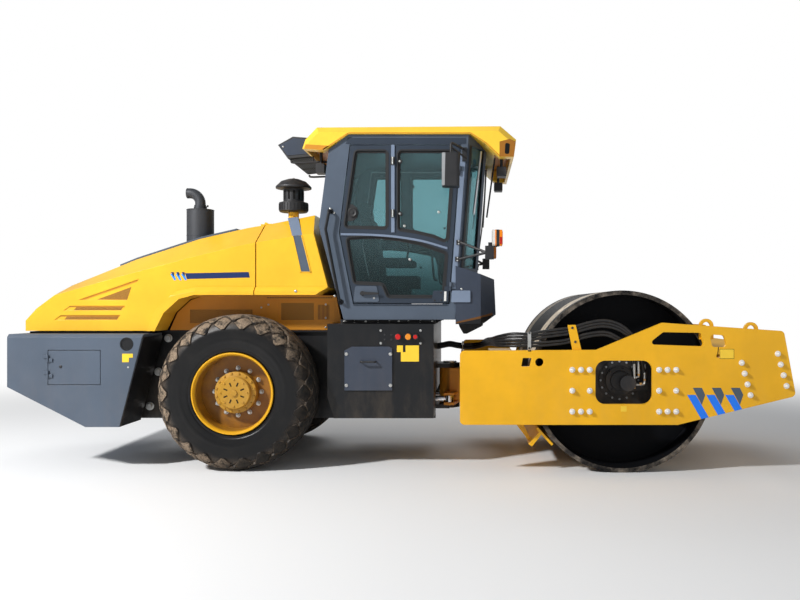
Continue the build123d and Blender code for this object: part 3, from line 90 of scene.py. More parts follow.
def angles(count, phase=0.0):
    """Angles of a ring of like parts, moved on by a phase in pitches."""
    return [TURN * (k + phase) / count for k in range(count)]


def on_circle(axis, r, angle):
    """X and Z at a radius and an angle round a line along Y."""
    return axis.x + r * math.cos(angle), axis.z + r * math.sin(angle)


def rounded(points, radius, steps=5):
    """Closed outline with its corners turned into arcs of this radius, or less where a side is short."""
    count = len(points)
    outline = []
    for i in range(count):
        before, here, after = (Vector(points[(i + k) % count]) for k in (-1, 0, 1))
        a, b = (before - here).normalized(), (after - here).normalized()
        half = a.angle(b) / 2
        reach = min(radius / math.tan(half), (before - here).length * 0.49, (after - here).length * 0.49)
        middle = here + (a + b).normalized() * (reach / math.cos(half))
        start, end = here + a * reach - middle, here + b * reach - middle
        turn = start.angle(end)
        for k in range(steps + 1):
            t = k / steps
            mixed = (start * math.sin((1 - t) * turn) + end * math.sin(t * turn)) / math.sin(turn)
            outline.append(middle + mixed)
    return outline


def inset(outline, distance):
    """Outline moved inwards by distance, for a convex or gently bent shape."""
    points = [Vector(p) for p in outline]
    area = sum(a.x * b.y - b.x * a.y for a, b in zip(points, points[1:] + points[:1]))
    turn = 1 if area > 0 else -1
    moved = []
    for i, here in enumerate(points):
        a = (here - points[i - 1]).normalized()
        b = (points[(i + 1) % len(points)] - here).normalized()
        na, nb = Vector((-a.y, a.x)) * turn, Vector((-b.y, b.x)) * turn
        mean = (na + nb).normalized()
        moved.append(here + mean * distance / max(0.3, mean.dot(na)))
    return moved


def smooth_path(points, per_span=6):
    """Smooth cubic curve through the points, with so many steps in each span."""
    points = [Vector(p) for p in points]
    knots = [points[0] * 2 - points[1], *points, points[-1] * 2 - points[-2]]
    path = []
    for i in range(1, len(knots) - 2):
        p0, p1, p2, p3 = knots[i - 1:i + 3]
        for k in range(per_span):
            t = k / per_span
            square = (2 * p0 - 5 * p1 + 4 * p2 - p3) * t ** 2
            cube = (3 * p1 - p0 - 3 * p2 + p3) * t ** 3
            path.append(0.5 * (2 * p1 + (p2 - p0) * t + square + cube))
    path.append(points[-1])
    return path


# ================================================================ solids in a bmesh
def in_side(u, v, w):
    """Outline in X-Z, depth along Y."""
    return Vector((u, w, v))


def in_front(u, v, w):
    """Outline in Y-Z, depth along X."""
    return Vector((w, u, v))


def add_face(bm, points, mat=0):
    bm.faces.new([bm.verts.new(p) for p in points]).material_index = mat


def add_rings(bm, rings, mat=0, closed=False):
    """Skin between rings of points, and from the last to the first if closed. One point makes a tip."""
    rings = [[bm.verts.new(p) for p in ring] for ring in rings]
    steps = max(len(ring) for ring in rings)
    for low, high in zip(rings, rings[1:] + rings[:closed]):
        for k in range(steps):
            j = (k + 1) % steps
            corners = [low[k % len(low)], low[j % len(low)], high[j % len(high)], high[k % len(high)]]
            unique = list(dict.fromkeys(corners))
            if len(unique) > 2:
                bm.faces.new(unique).material_index = mat
    return rings


def add_prism(bm, outline, low, high, place, mat=0):
    """Prism of a 2-D outline between two depths. place(u, v, w) gives the 3-D point."""
    bottom, top = add_rings(bm, [[place(u, v, w) for u, v in outline] for w in (low, high)], mat)
    for end in (bottom[::-1], top):
        bm.faces.new(end).material_index = mat


def add_box(bm, low, high, mat=0):
    add_prism(bm, rect(low[0], high[0], low[2], high[2]), low[1], high[1], in_side, mat)


def add_turned(bm, profile, at, direction, steps=24, mat=0, roll=0.0):
    """Solid of revolution. profile is (radius, height) along direction, from at; zero radii close it."""
    turned = Vector(direction).to_track_quat("Z", "Y").to_matrix() @ Matrix.Rotation(roll, 3, "Z")
    rings = []
    for r, h in profile:
        around = angles(steps) if r > 1e-6 else [0.0]
        rings.append([Vector(at) + turned @ Vector((r * math.cos(a), r * math.sin(a), h)) for a in around])
    add_rings(bm, rings, mat)


def add_bolt(bm, at, direction, across, height, mat=0, roll=0.0):
    """Hex head with a chamfered top on a washer. across is the head's width."""
    r = across / 2 / math.cos(math.pi / 6)
    base = height * 0.18
    add_turned(bm, disc(r * 1.22, base), at, direction, 20, mat)
    head = [(0, base), (r, base), (r, height * 0.86), (r * 0.86, height), (0, height)]
    add_turned(bm, head, at, direction, 6, mat, roll)


def add_dome(bm, at, direction, r, height, mat=0):
    """Round-headed screw or stud."""
    profile = [(0, 0), (r, 0), (r, height * 0.4), (r * 0.8, height * 0.8), (r * 0.45, height), (0, height)]
    add_turned(bm, profile, at, direction, 16, mat)


def add_tube(bm, path, radius, steps=12, mat=0):
    """Round tube along a path, with its section carried along without twist and its ends closed."""
    path = [Vector(p) for p in path]
    last = len(path) - 1
    tangents = [(path[min(i + 1, last)] - path[max(i - 1, 0)]).normalized() for i in range(last + 1)]
    across = tangents[0].orthogonal().normalized()
    rings = []
    for point, tangent in zip(path, tangents):
        across = (across - tangent * across.dot(tangent)).normalized()
        up = tangent.cross(across)
        rings.append([point + (across * math.cos(a) + up * math.sin(a)) * radius for a in angles(steps)])
    rings = add_rings(bm, rings, mat)
    for end in (rings[0][::-1], rings[-1]):
        bm.faces.new(end).material_index = mat


class Side:
    """Upright face on one side, at a distance y from the machine's middle. Parts are placed on it by X and Z,
    and lift is how far they stand off it."""

    def __init__(self, bm, side, y):
        self.bm, self.side, self.y = bm, side, y
        self.out = Vector((0, side, 0))

    def at(self, x, z, lift=0.0):
        return Vector((x, self.side * (self.y + lift), z))

    def span(self, y0, y1):
        """Both distances as low and high Y."""
        return sorted((self.side * y0, self.side * y1))

    def plate(self, outline, thick, mat=0, lift=0.0):
        near = self.y + lift
        add_prism(self.bm, outline, *self.span(near, near + thick), in_side, mat)

    def strips(self, line, width, thick, mat=0):
        """Straight strips to the left of each stretch of a line."""
        for (xa, za), (xb, zb) in zip(line, line[1:]):
            along = Vector((xb - xa, zb - za)).normalized()
            dx, dz = -along.y * width, along.x * width
            self.plate([(xa, za), (xb, zb), (xb + dx, zb + dz), (xa + dx, za + dz)], thick, mat)

    def border(self, outer, inner, thick, lift=0.0):
        """Flat ring between two outlines with as many points."""
        lines = ((outer, lift), (inner, lift), (inner, lift + thick), (outer, lift + thick))
        add_rings(self.bm, [[self.at(x, z, out) for x, z in line] for line, out in lines], closed=True)

    def hoop(self, axis, profile, steps):
        """Ring of a closed profile of (radius, lift) round a line along Y."""
        rings = [[self.at(*on_circle(axis, r, a), lift) for a in angles(steps)] for r, lift in profile]
        add_rings(self.bm, rings, closed=True)

    def turned(self, x, z, profile, steps=24, mat=0, lift=0.0):
        add_turned(self.bm, profile, self.at(x, z, lift), self.out, steps, mat)

    def bolt(self, x, z, across, height, mat=0, lift=0.0, roll=0.0):
        add_bolt(self.bm, self.at(x, z, lift), self.out, across, height, mat, roll)

    def dome(self, x, z, r, height, mat=0, lift=0.0):
        add_dome(self.bm, self.at(x, z, lift), self.out, r, height, mat)

    def tube(self, points, radius, steps=12, mat=0, smooth=0):
        """Tube through points of (x, distance from the middle, z), smoothed with so many steps in a span."""
        path = [Vector((x, self.side * y, z)) for x, y, z in points]
        add_tube(self.bm, smooth_path(path, smooth) if smooth else path, radius, steps, mat)


# ================================================================ pieces
def finished(bm, name, materials, body, smooth=35):
    """Turns a bmesh into a piece that rides on a body. materials holds the names of its materials in order,
    and edges sharper than smooth degrees stay sharp."""
    mesh = bpy.data.meshes.new(name)
    bmesh.ops.recalc_face_normals(bm, faces=bm.faces)
    bm.to_mesh(mesh)
    bm.free()
    for material in materials.split():
        mesh.materials.append(M[material])
    mesh.polygons.foreach_set("use_smooth", [True] * len(mesh.polygons))
    mesh.set_sharp_from_angle(angle=math.radians(smooth))
    piece = bpy.data.objects.new(name, mesh)
    bpy.context.scene.collection.objects.link(piece)
    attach(piece, body)
    return piece


def on_both(name, materials, body, y, build):
    """One piece with like parts on the right and the left. build(face) adds one side's."""
    bm = bmesh.new()
    for side, _ in SIDES:
        build(Side(bm, side, y))
    return finished(bm, name, materials, body)


def on_each(name, materials, body, y, build):
    """A right and a left piece, each on its own side's body."""
    for side, word in SIDES:
        bm = bmesh.new()
        build(Side(bm, side, y))
        finished(bm, f"{name}_{word}", materials, f"{body}_{word}")


# ================================================================ materials
class Nodes:
    """Short hand for building one material's node tree."""

    SOCKETS = {
        "color": "Base Color", "rough": "Roughness", "metal": "Metallic", "normal": "Normal", "ior": "IOR",
        "coat": "Coat Weight", "coat_rough": "Coat Roughness", "specular": "Specular IOR Level",
        "alpha": "Alpha", "transmission": "Transmission Weight",
    }

    def __init__(self, name):
        self.material = bpy.data.materials.new(name)
        self.material.use_nodes = True
        self.tree = self.material.node_tree
        self.shader = self.tree.nodes["Principled BSDF"]
        self.place = self.add("ShaderNodeTexCoord").outputs["Object"]

    def add(self, kind, **settings):
        node = self.tree.nodes.new(kind)
        for key, value in settings.items():
            setattr(node, key, value)
        return node

    def link(self, source, target):
        self.tree.links.new(source, target)

    def feed(self, socket, given):
        """Links a socket, or sets its value, with a colour given as three numbers."""
        if isinstance(given, bpy.types.NodeSocket):
            self.link(given, socket)
        else:
            socket.default_value = (*given, 1) if isinstance(given, tuple) else given

    def value(self, operation, *inputs, clamp=False):
        node = self.add("ShaderNodeMath", operation=operation, use_clamp=clamp)
        for socket, given in zip(node.inputs, inputs):
            self.feed(socket, given)
        return node.outputs[0]

    def noise(self, scale, detail, rough, stretch=None):
        node = self.add("ShaderNodeTexNoise")
        for key, given in (("Scale", scale), ("Detail", detail), ("Roughness", rough)):
            node.inputs[key].default_value = given
        place = self.place
        if stretch:
            mapping = self.add("ShaderNodeMapping")
            mapping.inputs["Scale"].default_value = stretch
            self.link(place, mapping.inputs["Vector"])
            place = mapping.outputs[0]
        self.link(place, node.inputs["Vector"])
        return node.outputs["Fac"]

    def ramp(self, source, low, high):
        """Smooth step of source between low and high."""
        node = self.add("ShaderNodeMapRange", interpolation_type="SMOOTHSTEP")
        self.link(source, node.inputs["Value"])
        node.inputs["From Min"].default_value = low
        node.inputs["From Max"].default_value = high
        return node.outputs["Result"]

    def mix(self, factor, a, b):
        node = self.add("ShaderNodeMix", data_type="RGBA")
        for socket, given in zip((node.inputs["Factor"], node.inputs[6], node.inputs[7]), (factor, a, b)):
            self.feed(socket, given)
        return node.outputs[2]

    def patches(self, scale, detail, rough, low, high, first, second):
        """Two colours, or shades of grey, in patches of noise."""
        return self.mix(self.ramp(self.noise(scale, detail, rough), low, high), first, second)

    def xyz(self, source=None):
        """X, Y and Z of the place, or of another vector."""
        node = self.add("ShaderNodeSeparateXYZ")
        self.link(self.place if source is None else source, node.inputs[0])
        return node.outputs[0], node.outputs[1], node.outputs[2]

    def from_axis(self, axis):
        """Distance from the line along Y through the point axis."""
        x, _, z = self.xyz()
        across, up = self.value("SUBTRACT", x, axis.x), self.value("SUBTRACT", z, axis.z)
        return self.value("POWER", self.value("ADD", self.value("POWER", across, 2.0),
                                              self.value("POWER", up, 2.0)), 0.5)

    def up_facing(self):
        """One where the surface looks up, zero where it is upright."""
        normal = self.add("ShaderNodeNewGeometry").outputs["Normal"]
        return self.value("MAXIMUM", self.xyz(normal)[2], 0.0)

    def soft_edges(self, radius):
        """Normal that rounds sharp edges off."""
        bevel = self.add("ShaderNodeBevel", samples=4)
        bevel.inputs["Radius"].default_value = radius
        return bevel.outputs[0]

    def edge_mask(self, soft):
        """One on sharp edges, where the softened normal leaves the true one."""
        dot = self.add("ShaderNodeVectorMath", operation="DOT_PRODUCT")
        self.link(soft, dot.inputs[0])
        self.link(self.add("ShaderNodeNewGeometry").outputs["Normal"], dot.inputs[1])
        return self.ramp(dot.outputs["Value"], 0.995, 0.86)

    def bump(self, height, strength, distance, normal=None):
        node = self.add("ShaderNodeBump")
        node.inputs["Strength"].default_value = strength
        node.inputs["Distance"].default_value = distance
        self.link(height, node.inputs["Height"])
        if normal is not None:
            self.link(normal, node.inputs["Normal"])
        return node.outputs[0]

    def set(self, **sockets):
        for key, given in sockets.items():
            self.feed(self.shader.inputs[self.SOCKETS[key]], given)
        return self.material


DUST = (0.36, 0.27, 0.18)
BARE = (0.3, 0.28, 0.25)   # enamel rubbed through on an edge


def shade(color, factor):
    return tuple(min(1, c * factor) for c in color)


def painted(name, color, rough, coat, dust, wear=BARE, wear_amount=0.35):
    """Enamel on steel: colour drift, orange peel, dust that gathers low and on top, and rubbed edges."""
    n = Nodes(name)
    tone = n.patches(1.7, 4, 0.6, 0.3, 0.7, shade(color, 0.9), shade(color, 1.05))
    soft = n.soft_edges(0.004)
    patchy = n.noise(38, 5, 0.7)
    rubbed = n.value("MULTIPLY", n.edge_mask(soft), n.ramp(patchy, 0.5, 0.68))
    tone = n.mix(n.value("MULTIPLY", rubbed, wear_amount), tone, wear)
    low = n.ramp(n.xyz()[2], 1.5, 0.1)
    settled = n.value("ADD", n.value("MULTIPLY", low, 0.75), n.value("MULTIPLY", n.up_facing(), 0.6))
    streaks = n.noise(5, 6, 0.65, stretch=(1, 1, 0.35))
    film = n.value("MULTIPLY", settled, n.ramp(streaks, 0.38, 0.75))
    film = n.value("MULTIPLY", film, dust, clamp=True)
    tone = n.mix(film, tone, DUST)
    grain = n.value("MULTIPLY_ADD", patchy, 0.1, rough - 0.05)
    roughness = n.value("ADD", grain, n.value("MULTIPLY", film, 0.6), clamp=True)
    peel = n.bump(n.noise(260, 2, 0.5), 0.05, 0.001, soft)
    return n.set(color=tone, rough=roughness, normal=peel, coat=coat * 0.5, coat_rough=0.15, specular=0.3)


def metal(name, color, rough, metallic=1.0, grime=0.25):
    """Bare or plated metal with a fine grain and some grime in patches."""
    n = Nodes(name)
    fine = n.noise(90, 4, 0.6)
    patch = n.value("MULTIPLY", n.ramp(n.noise(9, 5, 0.65), 0.45, 0.7), grime)
    tone = n.mix(patch, color, shade(color, 0.35))
    roughness = n.value("MULTIPLY_ADD", fine, 0.25, rough - 0.1, clamp=True)
    scratches = n.bump(fine, 0.08, 0.0006, n.soft_edges(0.002))
    return n.set(color=tone, rough=roughness, metal=metallic, normal=scratches)


def moulded(name, color, rough, grain, depth=0.25):
    """Moulded plastic, rubber or woven cloth with a fine grain."""
    n = Nodes(name)
    cells = n.add("ShaderNodeTexVoronoi")
    cells.inputs["Scale"].default_value = grain
    n.link(n.place, cells.inputs["Vector"])
    drift = n.noise(4, 4, 0.6)
    tone = n.mix(n.ramp(drift, 0.3, 0.75), shade(color, 0.85), shade(color, 1.12))
    specks = n.ramp(n.noise(14, 5, 0.7), 0.35, 0.8)
    film = n.value("MULTIPLY", n.value("MULTIPLY", n.up_facing(), specks), 0.2, clamp=True)
    tone = n.mix(film, tone, DUST)
    roughness = n.value("MULTIPLY_ADD", drift, 0.16, rough - 0.08)
    skin = n.bump(cells.outputs["Distance"], depth, 0.0006, n.soft_edges(0.003))
    return n.set(color=tone, rough=roughness, normal=skin)


def perforated(name, color, pitch=0.011, hole=0.3):
    """Punched sheet: rows of dark round holes, every other row shifted by half a pitch."""
    n = Nodes(name)
    x, y, z = n.xyz()
    up = n.value("DIVIDE", z, pitch * 0.87)
    shift = n.value("MULTIPLY", n.value("MODULO", n.value("FLOOR", up), 2.0), 0.5)
    across = n.value("ADD", n.value("DIVIDE", n.value("ADD", x, y), pitch), shift)
    u = n.value("SUBTRACT", n.value("FRACT", across), 0.5)
    v = n.value("SUBTRACT", n.value("FRACT", up), 0.5)
    from_hole = n.value("POWER", n.value("ADD", n.value("MULTIPLY", u, u), n.value("MULTIPLY", v, v)), 0.5)
    solid = n.ramp(from_hole, hole - 0.03, hole + 0.03)
    tone = n.mix(solid, (0.004, 0.004, 0.004), color)
    shine = n.value("MULTIPLY", solid, 0.5)
    return n.set(color=tone, rough=0.5, specular=shine, normal=n.bump(solid, 0.6, 0.001))


def glazing():
    """Blue-green tinted safety glass, darker low down as painted reflection."""
    n = Nodes("tinted_glass")
    smear = n.ramp(n.noise(6, 4, 0.6), 0.45, 0.8)
    # darker tint low down: painted reflection
    tint_with_painted_reflection = n.mix(n.ramp(n.xyz()[2], 1.55, 2.25), (0.1, 0.19, 0.2), (0.36, 0.57, 0.6))
    rough = n.value("MULTIPLY_ADD", smear, 0.03, 0.0)
    return n.set(color=tint_with_painted_reflection, rough=rough, transmission=0.94, ior=1.45, specular=0.5, alpha=1.0)


def rim_paint():
    """Rim: clean yellow flange, and a disc painted darker brown in patches as painted shade."""
    n = Nodes("rim_enamel")
    # darker brown disc: painted shade
    inner = n.patches(12, 5, 0.65, 0.3, 0.75, (0.3, 0.125, 0.01), (0.2, 0.085, 0.014))
    tone = n.mix(n.ramp(n.from_axis(AXLE), 0.325, 0.345), inner, (0.78, 0.4, 0.012))
    return n.set(color=tone, rough=0.42, normal=n.soft_edges(0.003), specular=0.3, coat=0.1, coat_rough=0.2)


def clods_bump(n, clods, fine, strength):
    """Bump of dried soil: coarse clods with fine crumbs."""
    return n.bump(n.value("MULTIPLY_ADD", clods, 0.6, n.value("MULTIPLY", fine, 0.4)), strength, 0.004)


def tyre_rubber():
    """Tyre: black walls, with pale dried soil that keeps to the tread and fades down the shoulder."""
    n = Nodes("tyre_rubber")
    zone = n.ramp(n.from_axis(AXLE), TYRE_R - 0.15, TYRE_R - 0.03)
    clods, fine = n.noise(17, 6, 0.72), n.noise(120, 5, 0.7)
    soil = n.value("MULTIPLY", zone, n.ramp(clods, 0.33, 0.6), clamp=True)
    soil = n.value("MULTIPLY", soil, n.ramp(fine, 0.2, 0.55), clamp=True)
    haze = n.value("MULTIPLY", n.ramp(n.noise(6, 5, 0.6), 0.4, 0.8), 0.05)
    soil_tone = n.mix(n.ramp(fine, 0.3, 0.7), (0.16, 0.11, 0.075), (0.36, 0.27, 0.19))
    tone = n.mix(haze, (0.0045, 0.0045, 0.005), (0.1, 0.085, 0.07))
    tone = n.mix(n.value("MULTIPLY", soil, 0.45), tone, soil_tone)
    rough = n.value("MULTIPLY_ADD", soil, 0.45, 0.36, clamp=True)
    return n.set(color=tone, rough=rough, normal=clods_bump(n, clods, fine, 0.3), specular=0.3)


def tread_soil():
    """Faces of the lugs: dried soil in patches, pale at the rear and fading to black rubber low at the front
    as painted shade.
    """
    n = Nodes("tread_soil")
    x, _, z = n.xyz()
    ahead, below = n.value("SUBTRACT", x, AXLE.x), n.value("SUBTRACT", AXLE.z, z)
    # painted shade: the soil gives way to black rubber towards the lower front
    toward = n.value("MULTIPLY_ADD", below, 0.45, n.value("MULTIPLY", ahead, 0.75))
    painted_front_shade = n.value("MULTIPLY", n.ramp(toward, 0.02, 0.42), 0.88)
    clods, fine = n.noise(15, 6, 0.7), n.noise(110, 5, 0.7)
    soil = n.mix(n.ramp(fine, 0.3, 0.7), (0.1, 0.072, 0.05), (0.4, 0.3, 0.21))
    cover = n.value("MULTIPLY", n.ramp(clods, 0.36, 0.56), n.value("SUBTRACT", 0.95, painted_front_shade))
    tone = n.mix(cover, (0.012, 0.012, 0.012), soil)
    return n.set(color=tone, rough=0.85, normal=clods_bump(n, clods, fine, 0.5), specular=0.2)


def drum_paint():
    """Drum shell: black with dusty scuffs, a pale rubbed band near each end and worn end faces."""
    n = Nodes("drum_steel")
    outer = n.ramp(n.from_axis(DRUM), DRUM_R - 0.012, DRUM_R - 0.004)
    from_middle = n.value("ABSOLUTE", n.xyz()[1])
    wobble = n.value("MULTIPLY_ADD", n.noise(2.2, 4, 0.6), 0.06, from_middle)
    clear_of_end = n.value("SUBTRACT", 1.0, n.ramp(wobble, DRUM_HALF_W - 0.15, DRUM_HALF_W - 0.1))
    band = n.value("MULTIPLY", n.ramp(wobble, DRUM_HALF_W - 0.53, DRUM_HALF_W - 0.46), clear_of_end)
    cover = n.value("MULTIPLY_ADD", n.ramp(n.noise(5, 6, 0.7), 0.3, 0.62), 0.3, 0.7)
    rub = n.value("MULTIPLY", n.value("MULTIPLY", outer, band), cover, clamp=True)
    end_face = n.ramp(from_middle, DRUM_HALF_W - 0.004, DRUM_HALF_W - 0.0005)
    end_face = n.value("MULTIPLY", end_face, n.ramp(n.noise(9, 6, 0.7), 0.3, 0.65))
    scuffs = n.value("MULTIPLY", n.ramp(n.noise(26, 6, 0.75, stretch=(1, 0.12, 1)), 0.55, 0.75), outer)
    tone = n.mix(n.value("MULTIPLY", scuffs, 0.5), (0.006, 0.0065, 0.008), (0.03, 0.028, 0.026))
    bare = n.patches(12, 5, 0.6, 0.35, 0.7, (0.05, 0.045, 0.04), (0.24, 0.2, 0.16))
    tone = n.mix(end_face, tone, bare)
    worn = n.patches(20, 5, 0.6, 0.35, 0.7, (0.36, 0.3, 0.23), (0.72, 0.62, 0.48))
    tone = n.mix(rub, tone, worn)
    rough = n.value("MULTIPLY_ADD", n.noise(60, 4, 0.7), 0.2, 0.5)
    return n.set(color=tone, rough=rough, normal=n.bump(n.noise(70, 4, 0.7), 0.1, 0.0008), specular=0.08)


ENAMELS = {                # colour, roughness, coat, dust, colour of rubbed edges where it isn't BARE
    "yellow_enamel": ((0.9, 0.5, 0.028), 0.3, 0.5, 0.1),
    "plate_enamel": ((0.87, 0.45, 0.008), 0.42, 0.15, 0.14),
    "shaded_enamel": ((0.62, 0.25, 0.02), 0.45, 0.1, 0.25),
    # darker copy of the yellow: painted shade on the wheel hubs and hub covers
    "hub_enamel": ((0.5, 0.26, 0.022), 0.45, 0.1, 0.35),
    "slate_enamel": ((0.083, 0.107, 0.145), 0.4, 0.25, 0.12),
    # darker copy of slate_enamel: painted shade on the tank cover, the cab's nose and the air conditioner's
    # sides
    "low_slate_enamel": ((0.042, 0.054, 0.08), 0.38, 0.25, 0.12),
    "dark_slate_enamel": ((0.03, 0.042, 0.062), 0.42, 0.15, 0.1),
    "black_enamel": ((0.006, 0.007, 0.009), 0.42, 0.2, 0.2, (0.12, 0.11, 0.1)),
    "painted_casting": ((0.02, 0.02, 0.022), 0.55, 0.05, 0.35, (0.1, 0.09, 0.08)),
}
FILMS = {                  # colour, roughness, coat, dust: enamel and plastic with no rubbed edges
    "roof_moulding": ((0.95, 0.6, 0.05), 0.35, 0.3, 0.1),
    "pocket_shade": ((0.34, 0.13, 0.012), 0.5, 0.1, 0.1),
    # brown: painted reflection along the lower edge of the cab's nose
    "brown_edge": ((0.15, 0.06, 0.012), 0.5, 0.1, 0.1),
    "blue_film": ((0.01, 0.2, 0.93), 0.35, 0.2, 0.05),
    "slate_film": ((0.07, 0.1, 0.14), 0.38, 0.2, 0.05),
    "navy_film": ((0.012, 0.03, 0.12), 0.35, 0.2, 0.03),
    "sky_blue_film": ((0.04, 0.3, 0.9), 0.35, 0.2, 0.03),
    "yellow_sign": ((0.95, 0.62, 0.04), 0.4, 0.2, 0.08),
    # light slate: the pillar covers' paint, and painted highlight on the doors' bars and rails and on the
    # cowl stripe's top
    "light_slate_enamel": ((0.19, 0.24, 0.33), 0.35, 0.25, 0.05),
    "white_plastic": ((0.75, 0.75, 0.72), 0.4, 0.2, 0.08),
    "red_plastic": ((0.55, 0.012, 0.012), 0.35, 0.3, 0.05),
    "amber_plastic": ((0.85, 0.28, 0.02), 0.35, 0.3, 0.05),
    "red_lens": ((0.5, 0.01, 0.01), 0.12, 0.8, 0.05),
    "amber_lens": ((0.9, 0.25, 0.01), 0.12, 0.8, 0.05),
    "clear_lens": ((0.72, 0.7, 0.66), 0.12, 0.9, 0.03),
    "lamp_glass": ((0.7, 0.72, 0.74), 0.1, 0.9, 0.03),
    "dark_screen": ((0.01, 0.014, 0.02), 0.12, 0.6, 0.02),
    # near-black: soot in the exhaust's bore, and painted shade in slots, recesses and the hand hole's lip
    "soot": ((0.004, 0.004, 0.004), 0.9, 0.0, 0.0),
}
METALS = {                 # colour, roughness, metallic, grime
    "zinc_plated_steel": ((0.62, 0.62, 0.6), 0.38),
    "bright_zinc": ((0.86, 0.86, 0.84), 0.5, 0.4, 0.1),
    "dark_steel": ((0.06, 0.062, 0.066), 0.42, 0.6),
    "hard_chrome": ((0.8, 0.8, 0.82), 0.14, 1.0, 0.1),
    "black_heat_paint": ((0.045, 0.048, 0.055), 0.5, 0.3),
    "mirror_glass": ((0.75, 0.8, 0.85), 0.12, 1.0, 0.05),
    "brass_fitting": ((0.72, 0.42, 0.16), 0.35),
}
MOULDINGS = {              # colour, roughness, cells of grain in a metre, depth of grain
    "rubber": ((0.014, 0.014, 0.015), 0.62, 300),
    "hose_rubber": ((0.012, 0.012, 0.013), 0.45, 600, 0.15),
    "black_plastic": ((0.018, 0.018, 0.02), 0.5, 500),
    "grey_trim": ((0.09, 0.09, 0.095), 0.6, 500),
    "pale_grey_plastic": ((0.33, 0.34, 0.35), 0.45, 500),
    "seat_fabric": ((0.03, 0.032, 0.036), 0.85, 260, 0.6),
}
MESHES = {                 # colour
    "orange_mesh": ((0.45, 0.2, 0.02),),
    "black_mesh": ((0.02, 0.021, 0.024),),
}

M = {
    "tinted_glass": glazing(), "tyre_rubber": tyre_rubber(), "rim_enamel": rim_paint(),
    "tread_soil": tread_soil(), "drum_steel": drum_paint(),
}
for recipe, table in ((painted, ENAMELS), (metal, METALS), (moulded, MOULDINGS), (perforated, MESHES)):
    for name, row in table.items():
        M[name] = recipe(name, *row)
for name, row in FILMS.items():
    M[name] = painted(name, *row, wear_amount=0)

NODE_MATERIALS = {         # names of the nodes that each material covers
    "yellow_enamel": "hood cowl",
    "plate_enamel": "side_plate_right side_plate_left rear_crossbeam front_crossbeam lifting_eyes scraper",
    "shaded_enamel": "centre_joint engine_panels",
    "rim_enamel": "rim_right rim_left",
    "hub_enamel": "wheel_hub_right wheel_hub_left",
    "slate_enamel": "rear_weight cab_frame box_door_right box_door_left",
    "low_slate_enamel": "tank_cover cab_nose",
    "dark_slate_enamel": "cab_door_right cab_door_left",
    "black_enamel": "rear_frame side_tanks steps deck steering_cylinder_right "
                    "steering_cylinder_left grab_handles",
    "roof_moulding": "cab_roof",
    "painted_casting": "rear_axle engine drum_hubs drum_carriers drum_brackets",
    "zinc_plated_steel": "steering_pin",
    "black_heat_paint": "exhaust",
    "hard_chrome": "steering_rod_right steering_rod_left",
    "rubber": "drum_buffers cab_mounts",
    "seat_fabric": "seat",
    "hose_rubber": "front_hoses joint_hoses frame_hoses",
    "black_plastic": "air_conditioner air_intake steering_console mirrors signal_lamps "
                     "roof_lamps tank_fittings",
    "tinted_glass": "windscreen rear_window door_glass_right door_glass_left",
    "tyre_rubber": "tyre_right tyre_left",
    "drum_steel": "drum_shell drum_discs",
}


def dress_nodes():
    """Gives every CAD node its material."""
    for material, nodes in NODE_MATERIALS.items():
        for node in nodes.split():
            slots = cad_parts[node].data.materials
            slots.clear()
            slots.append(M[material])


# ================================================================ wheels
TREAD_Y = centre("tyre_left").y
TREAD_HALF_W = outer_y("tyre_left") - TREAD_Y
HUB_Y = outer_y("wheel_hub_left")
LUG_H = 0.024
LUGS_AROUND = 22
LUG_ROWS = 7
LUG_SKEW = 0.18
SHOULDER = 0.315           # from the crown's middle along the carcass, to a row beyond the outermost lugs
WALL_RIBS = ((0.47, 0.004), (0.565, 0.003))   # radius and height


def carcass():
    """Half profile of the tyre from the crown's middle to the bead, as (radius, out)."""
    r, w = TYRE_R - LUG_H, TREAD_HALF_W
    corners = [
        (r, 0), (r - 0.001, 0.06), (r - 0.004, 0.12), (r - 0.012, 0.165), (r - 0.03, 0.205),
        (r - 0.058, 0.234), (r - 0.095, 0.252), (r - 0.14, w - 0.001), (r - 0.19, w - 0.001),
        (r - 0.235, w - 0.004), (0.402, w - 0.008), (0.392, w - 0.013), (0.378, w - 0.013),
        (0.366, w - 0.02), (0.363, w - 0.03),
    ]
    profile = smooth_path(corners, 3)
    for point in profile:
        for r, height in WALL_RIBS:
            if abs(point.x - r) < 0.007:
                point.y += height
    return profile


def above(profile, s, height):
    """(radius, out) at a distance s from the crown's middle along the profile, and a height above it."""
    length = 0.0
    for a, b in zip(profile, profile[1:]):
        step = (b - a).length
        if length + step > abs(s):
            break
        length += step
    along = (b - a) / step
    point = a.lerp(b, (abs(s) - length) / step) + Vector((along.y, -along.x)) * height
    return point.x, math.copysign(point.y, s)


def lug_outline(skew):
    """Corners and middles of a lug's sides, as shares of the pitch round the wheel and of a row across it."""
    corners = ((-0.5, skew), (-0.1, 1.0), (0.1, 1.0), (0.5, -skew), (0.1, -1.0), (-0.1, -1.0))
    corners = [Vector(corner) for corner in corners]
    return [a.lerp(b, t) for a, b in zip(corners, corners[1:] + corners[:1]) for t in (0.0, 0.5)]


